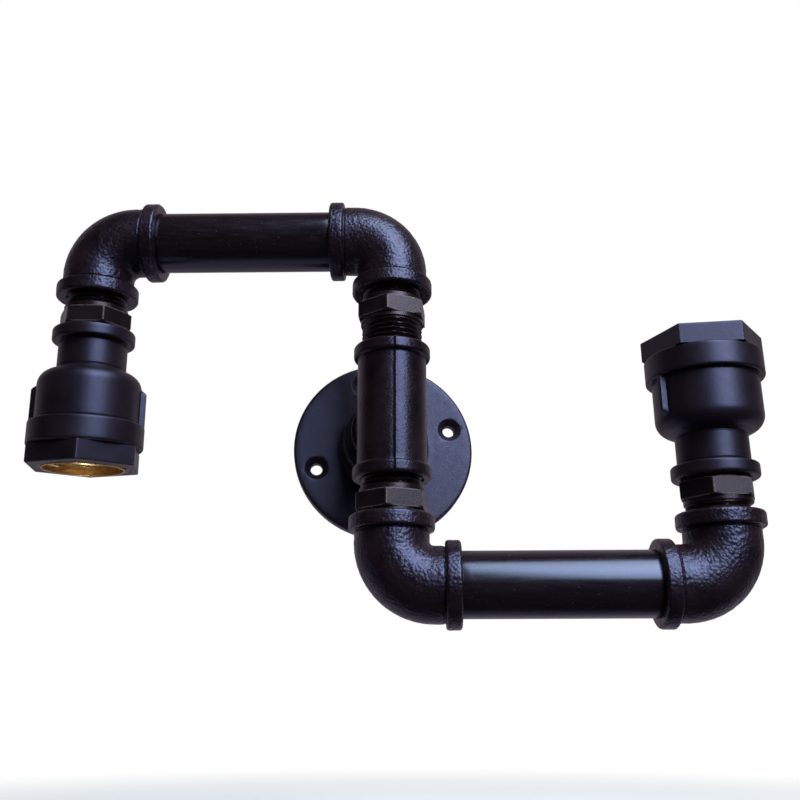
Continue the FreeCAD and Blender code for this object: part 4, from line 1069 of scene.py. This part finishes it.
def cup(name, place, body):
    """The reducing cup from its neck to its mouth, with its hexagon and two ribs."""
    shoulder_end = NECK_LENGTH + SHOULDER_LENGTH
    across = CUP_RADIUS - NECK_RADIUS - SHOULDER_BLEND
    along = SHOULDER_LENGTH - SHOULDER_BLEND
    shoulder = (across ** 2 + along ** 2) / (2 * across)
    sweep = math.asin(along / shoulder)
    dome = [(CUP_RADIUS - shoulder * (1 - math.cos(sweep * (1 - step / 10))),
             shoulder_end - shoulder * math.sin(sweep * (1 - step / 10))) for step in range(1, 10)]
    flat = RIM_HEX_WIDTH / 2
    slope = (CHAMBER_RADIUS - PASSAGE_RADIUS) / 2
    corners = [
        (SOCKET_RADIUS, 0, 0.4), (NECK_BEAD, 0, BEAD_ROUND), (NECK_BEAD, NECK_BEAD_WIDTH, 0.8),
        (NECK_RADIUS - CREASE, NECK_BEAD_WIDTH + 0.4, 0.15), (NECK_RADIUS, NECK_BEAD_WIDTH + 1.1, 0.8),
        (NECK_RADIUS, NECK_LENGTH - 0.6, 0.8), (NECK_RADIUS - CREASE, NECK_LENGTH + 0.2, 0.15),
        (NECK_RADIUS + SHOULDER_BLEND, NECK_LENGTH + SHOULDER_BLEND * 0.8, 0.4)]
    corners += dome
    corners += [
        (CUP_RADIUS, shoulder_end), (CUP_RADIUS, BAND_START - 0.8, 0.8),
        (CUP_RADIUS - CREASE, BAND_START, 0.15), (BAND_RADIUS, BAND_START, BAND_ROUND * 0.8),
        (BAND_RADIUS, RIM_HEX_START, BAND_ROUND), (flat, RIM_HEX_START, 0.2), (flat, CUP_LENGTH, 0.5),
        (RING_OUTSIDE + 0.05, CUP_LENGTH, 0.15), (RING_OUTSIDE + 0.05, CUP_LENGTH - RING_THICK),
        (HOLDER_BORE, CUP_LENGTH - RING_THICK), (HOLDER_BORE, HOLDER_SEAT), (CHAMBER_RADIUS, HOLDER_SEAT),
        (CHAMBER_RADIUS, CHAMBER_START), (PASSAGE_RADIUS, CHAMBER_START - slope),
        (PASSAGE_RADIUS, SOCKET_DEPTH), (SOCKET_RADIUS, SOCKET_DEPTH)]
    line = spread(rounded(corners), 0.7)
    ribs = [RIB_TURN % 360, (RIB_TURN + 180) % 360]
    turns = [60 * corner for corner in range(6)]
    angles = np.union1d(angles_about(150, turns, 0.4, 2.4), angles_about(1, ribs, 0.6, 5.4))
    radius = line[:, :1]
    height = line[:, 1:2]
    outside = (np.arange(len(line)) < outer_count(line))[:, None]
    hexagon = hexagon_radius(angles, RIM_HEX_WIDTH, 0.5)[None, :]
    top = outside & (height >= RIM_HEX_START - 1e-6) & (radius <= flat + 0.21)
    turned = np.repeat(radius, len(angles), axis=1)
    radii = np.where(top, hexagon + np.minimum(radius - flat, 0), turned)
    low = BAND_START - RIB_LENGTH
    rise = smooth_step((height - low) / RIB_RUN_IN) * (height < BAND_START + BAND_ROUND)
    for rib in ribs:
        away = np.abs((np.degrees(angles) - rib + 180) % 360 - 180)
        across_rib = np.radians(away)[None, :] * CUP_RADIUS
        share = smooth_step((RIB_WIDTH / 2 + RIB_EDGE - across_rib) / 0.7) * rise * 0.985
        raised = np.maximum(radii, radii + (CUP_RADIUS + RIB_HEIGHT - radii) * share)
        radii = np.where(outside, raised, radii)
    mesh = skin(name, straight_rows(line), angles, radii)
    corner = RIM_HEX_WIDTH / math.sqrt(3.0)
    near_corner = np.clip(1 - (corner - hexagon) * 1.6, 0, 1) ** 2
    near_end = np.clip(1 - (CUP_LENGTH - height) / 0.5, 0, 1)
    mark_edges(mesh, np.where(top, np.maximum(near_corner, near_end), 0))
    keep_piece(put(mesh, place, "cup_cast", 32.0), "cup_cast", body, name)


def outer_count(line):
    """How many of the cup's rows are on its outside."""
    return int(np.argmax((line[:, 1] >= CUP_LENGTH - 1e-6) & (line[:, 0] < RING_OUTSIDE + 0.6)))


def screw_shell(name, place, body):
    """The brass screw shell, its lamp thread rolled into the sheet between floor and lip."""
    floor = HOLDER_SEAT + BASE_THICK
    lip_end = CUP_LENGTH + SHELL_PROUD
    lip_start = lip_end - SHELL_LIP
    outer = SHELL_ROOT + SHELL_WALL
    line = rounded([
        (SHELL_FLOOR_HOLE, floor, 0.1), (outer, floor, 0.8), (outer, lip_end, 0.14),
        (SHELL_ROOT, lip_end, 0.14), (SHELL_ROOT, floor + SHELL_WALL, 0.5),
        (SHELL_FLOOR_HOLE, floor + SHELL_WALL, 0.1)])
    mesh = skin(name, straight_rows(spread(line, 0.3)), angles_about(120))
    mesh = worked(mesh, THREAD, Start=(floor + 1.0) * MM, End=lip_start * MM, Pitch=SHELL_PITCH * MM,
                  Depth=SHELL_DEPTH * MM, Least_radius=(SHELL_ROOT - 0.1) * MM,
                  Most_radius=(outer + 0.1) * MM, Roundness=1.0, Finish=FINISHES["shell_brass"])
    keep_piece(put(mesh, place, "shell_brass"), "shell_brass", body, name)


def retaining_ring(name, place, body):
    """The ring at the cup's mouth, with two slots for a spanner."""
    low = CUP_LENGTH - RING_THICK
    line = rounded([(RING_INSIDE, low, 0.1), (RING_OUTSIDE, low, 0.1), (RING_OUTSIDE, CUP_LENGTH, 0.25),
                    (RING_INSIDE, CUP_LENGTH, 0.25)], steps=4)
    mesh = skin(name, straight_rows(spread(line, 0.8)), angles_about(96))
    slot_reach = RING_INSIDE + RING_SLOT_DEPTH
    half = RING_SLOT_WIDTH / 2
    box = (slot_reach - 4, slot_reach), (-half, half), (low - 1, CUP_LENGTH + 1)
    corners = np.array(list(itertools.product(*box)))
    sides = [(0, 1, 3, 2), (4, 6, 7, 5), (0, 4, 5, 1), (2, 3, 7, 6), (0, 2, 6, 4), (1, 5, 7, 3)]
    cutter = show(bpy.data.objects.new("slot", mesh_of("slot", corners, sides)))
    mesh = worked(mesh, CUTS, Cutter=cutter, Count=2, Circle_radius=0.0, First_angle=0.0,
                  Finish=FINISHES["ring_insulator"])
    bpy.data.objects.remove(cutter)
    keep_piece(put(mesh, place, "ring_insulator"), "ring_insulator", body, name)


# Every piece in its place

wall_flange()
flange_nipple()
feed_cable()
tee()
for side in ("upper", "lower"):
    arm_body = side + "_arm"
    head_body = side + "_head"
    arm_at = arm_place(side)
    inner_at = arm_at @ TURN_OVER
    head_at = head_place(side)
    start = neck_start(side)
    elbow(side + "_inner_elbow", inner_at, arm_body)
    gap = ARM_HEX_GAP[side]
    bare_and_glint = ARM_RISE[side] - ELBOW_REACH - TEE_REACH - HEX_LENGTH - gap
    nipple_at = inner_at @ lift(ELBOW_REACH) @ spin(ARM_HEX_TURN[side])
    hex_nipple(side + "_arm_nipple", nipple_at, gap, bare_and_glint, arm_body)
    pipe(side + "_pipe", arm_at, arm_body)
    elbow(side + "_outer_elbow", head_at, head_body)
    bare_and_glint = start - ELBOW_REACH - HEX_LENGTH - HEAD_HEX_GAP
    nipple_at = head_at @ lift(ELBOW_REACH) @ spin(HEAD_HEX_TURN[side])
    hex_nipple(side + "_head_nipple", nipple_at, bare_and_glint, HEAD_HEX_GAP, head_body)
    neck_at = head_at @ lift(start)
    cup(side + "_cup", neck_at @ spin(CUP_TURN[side]), head_body)
    screw_shell(side + "_screw_shell", neck_at, head_body)
    retaining_ring(side + "_retaining_ring", neck_at, head_body)

# The rest keep their CAD meshes and get their finishes
slot_of = {part["node"]: part["material_slot"] for part in frame["record"]["subparts"]}
for name, node in frame["nodes"].items():
    if not node.hide_render:
        node.data.materials.clear()
        node.data.materials.append(FINISHES[slot_of[name]])
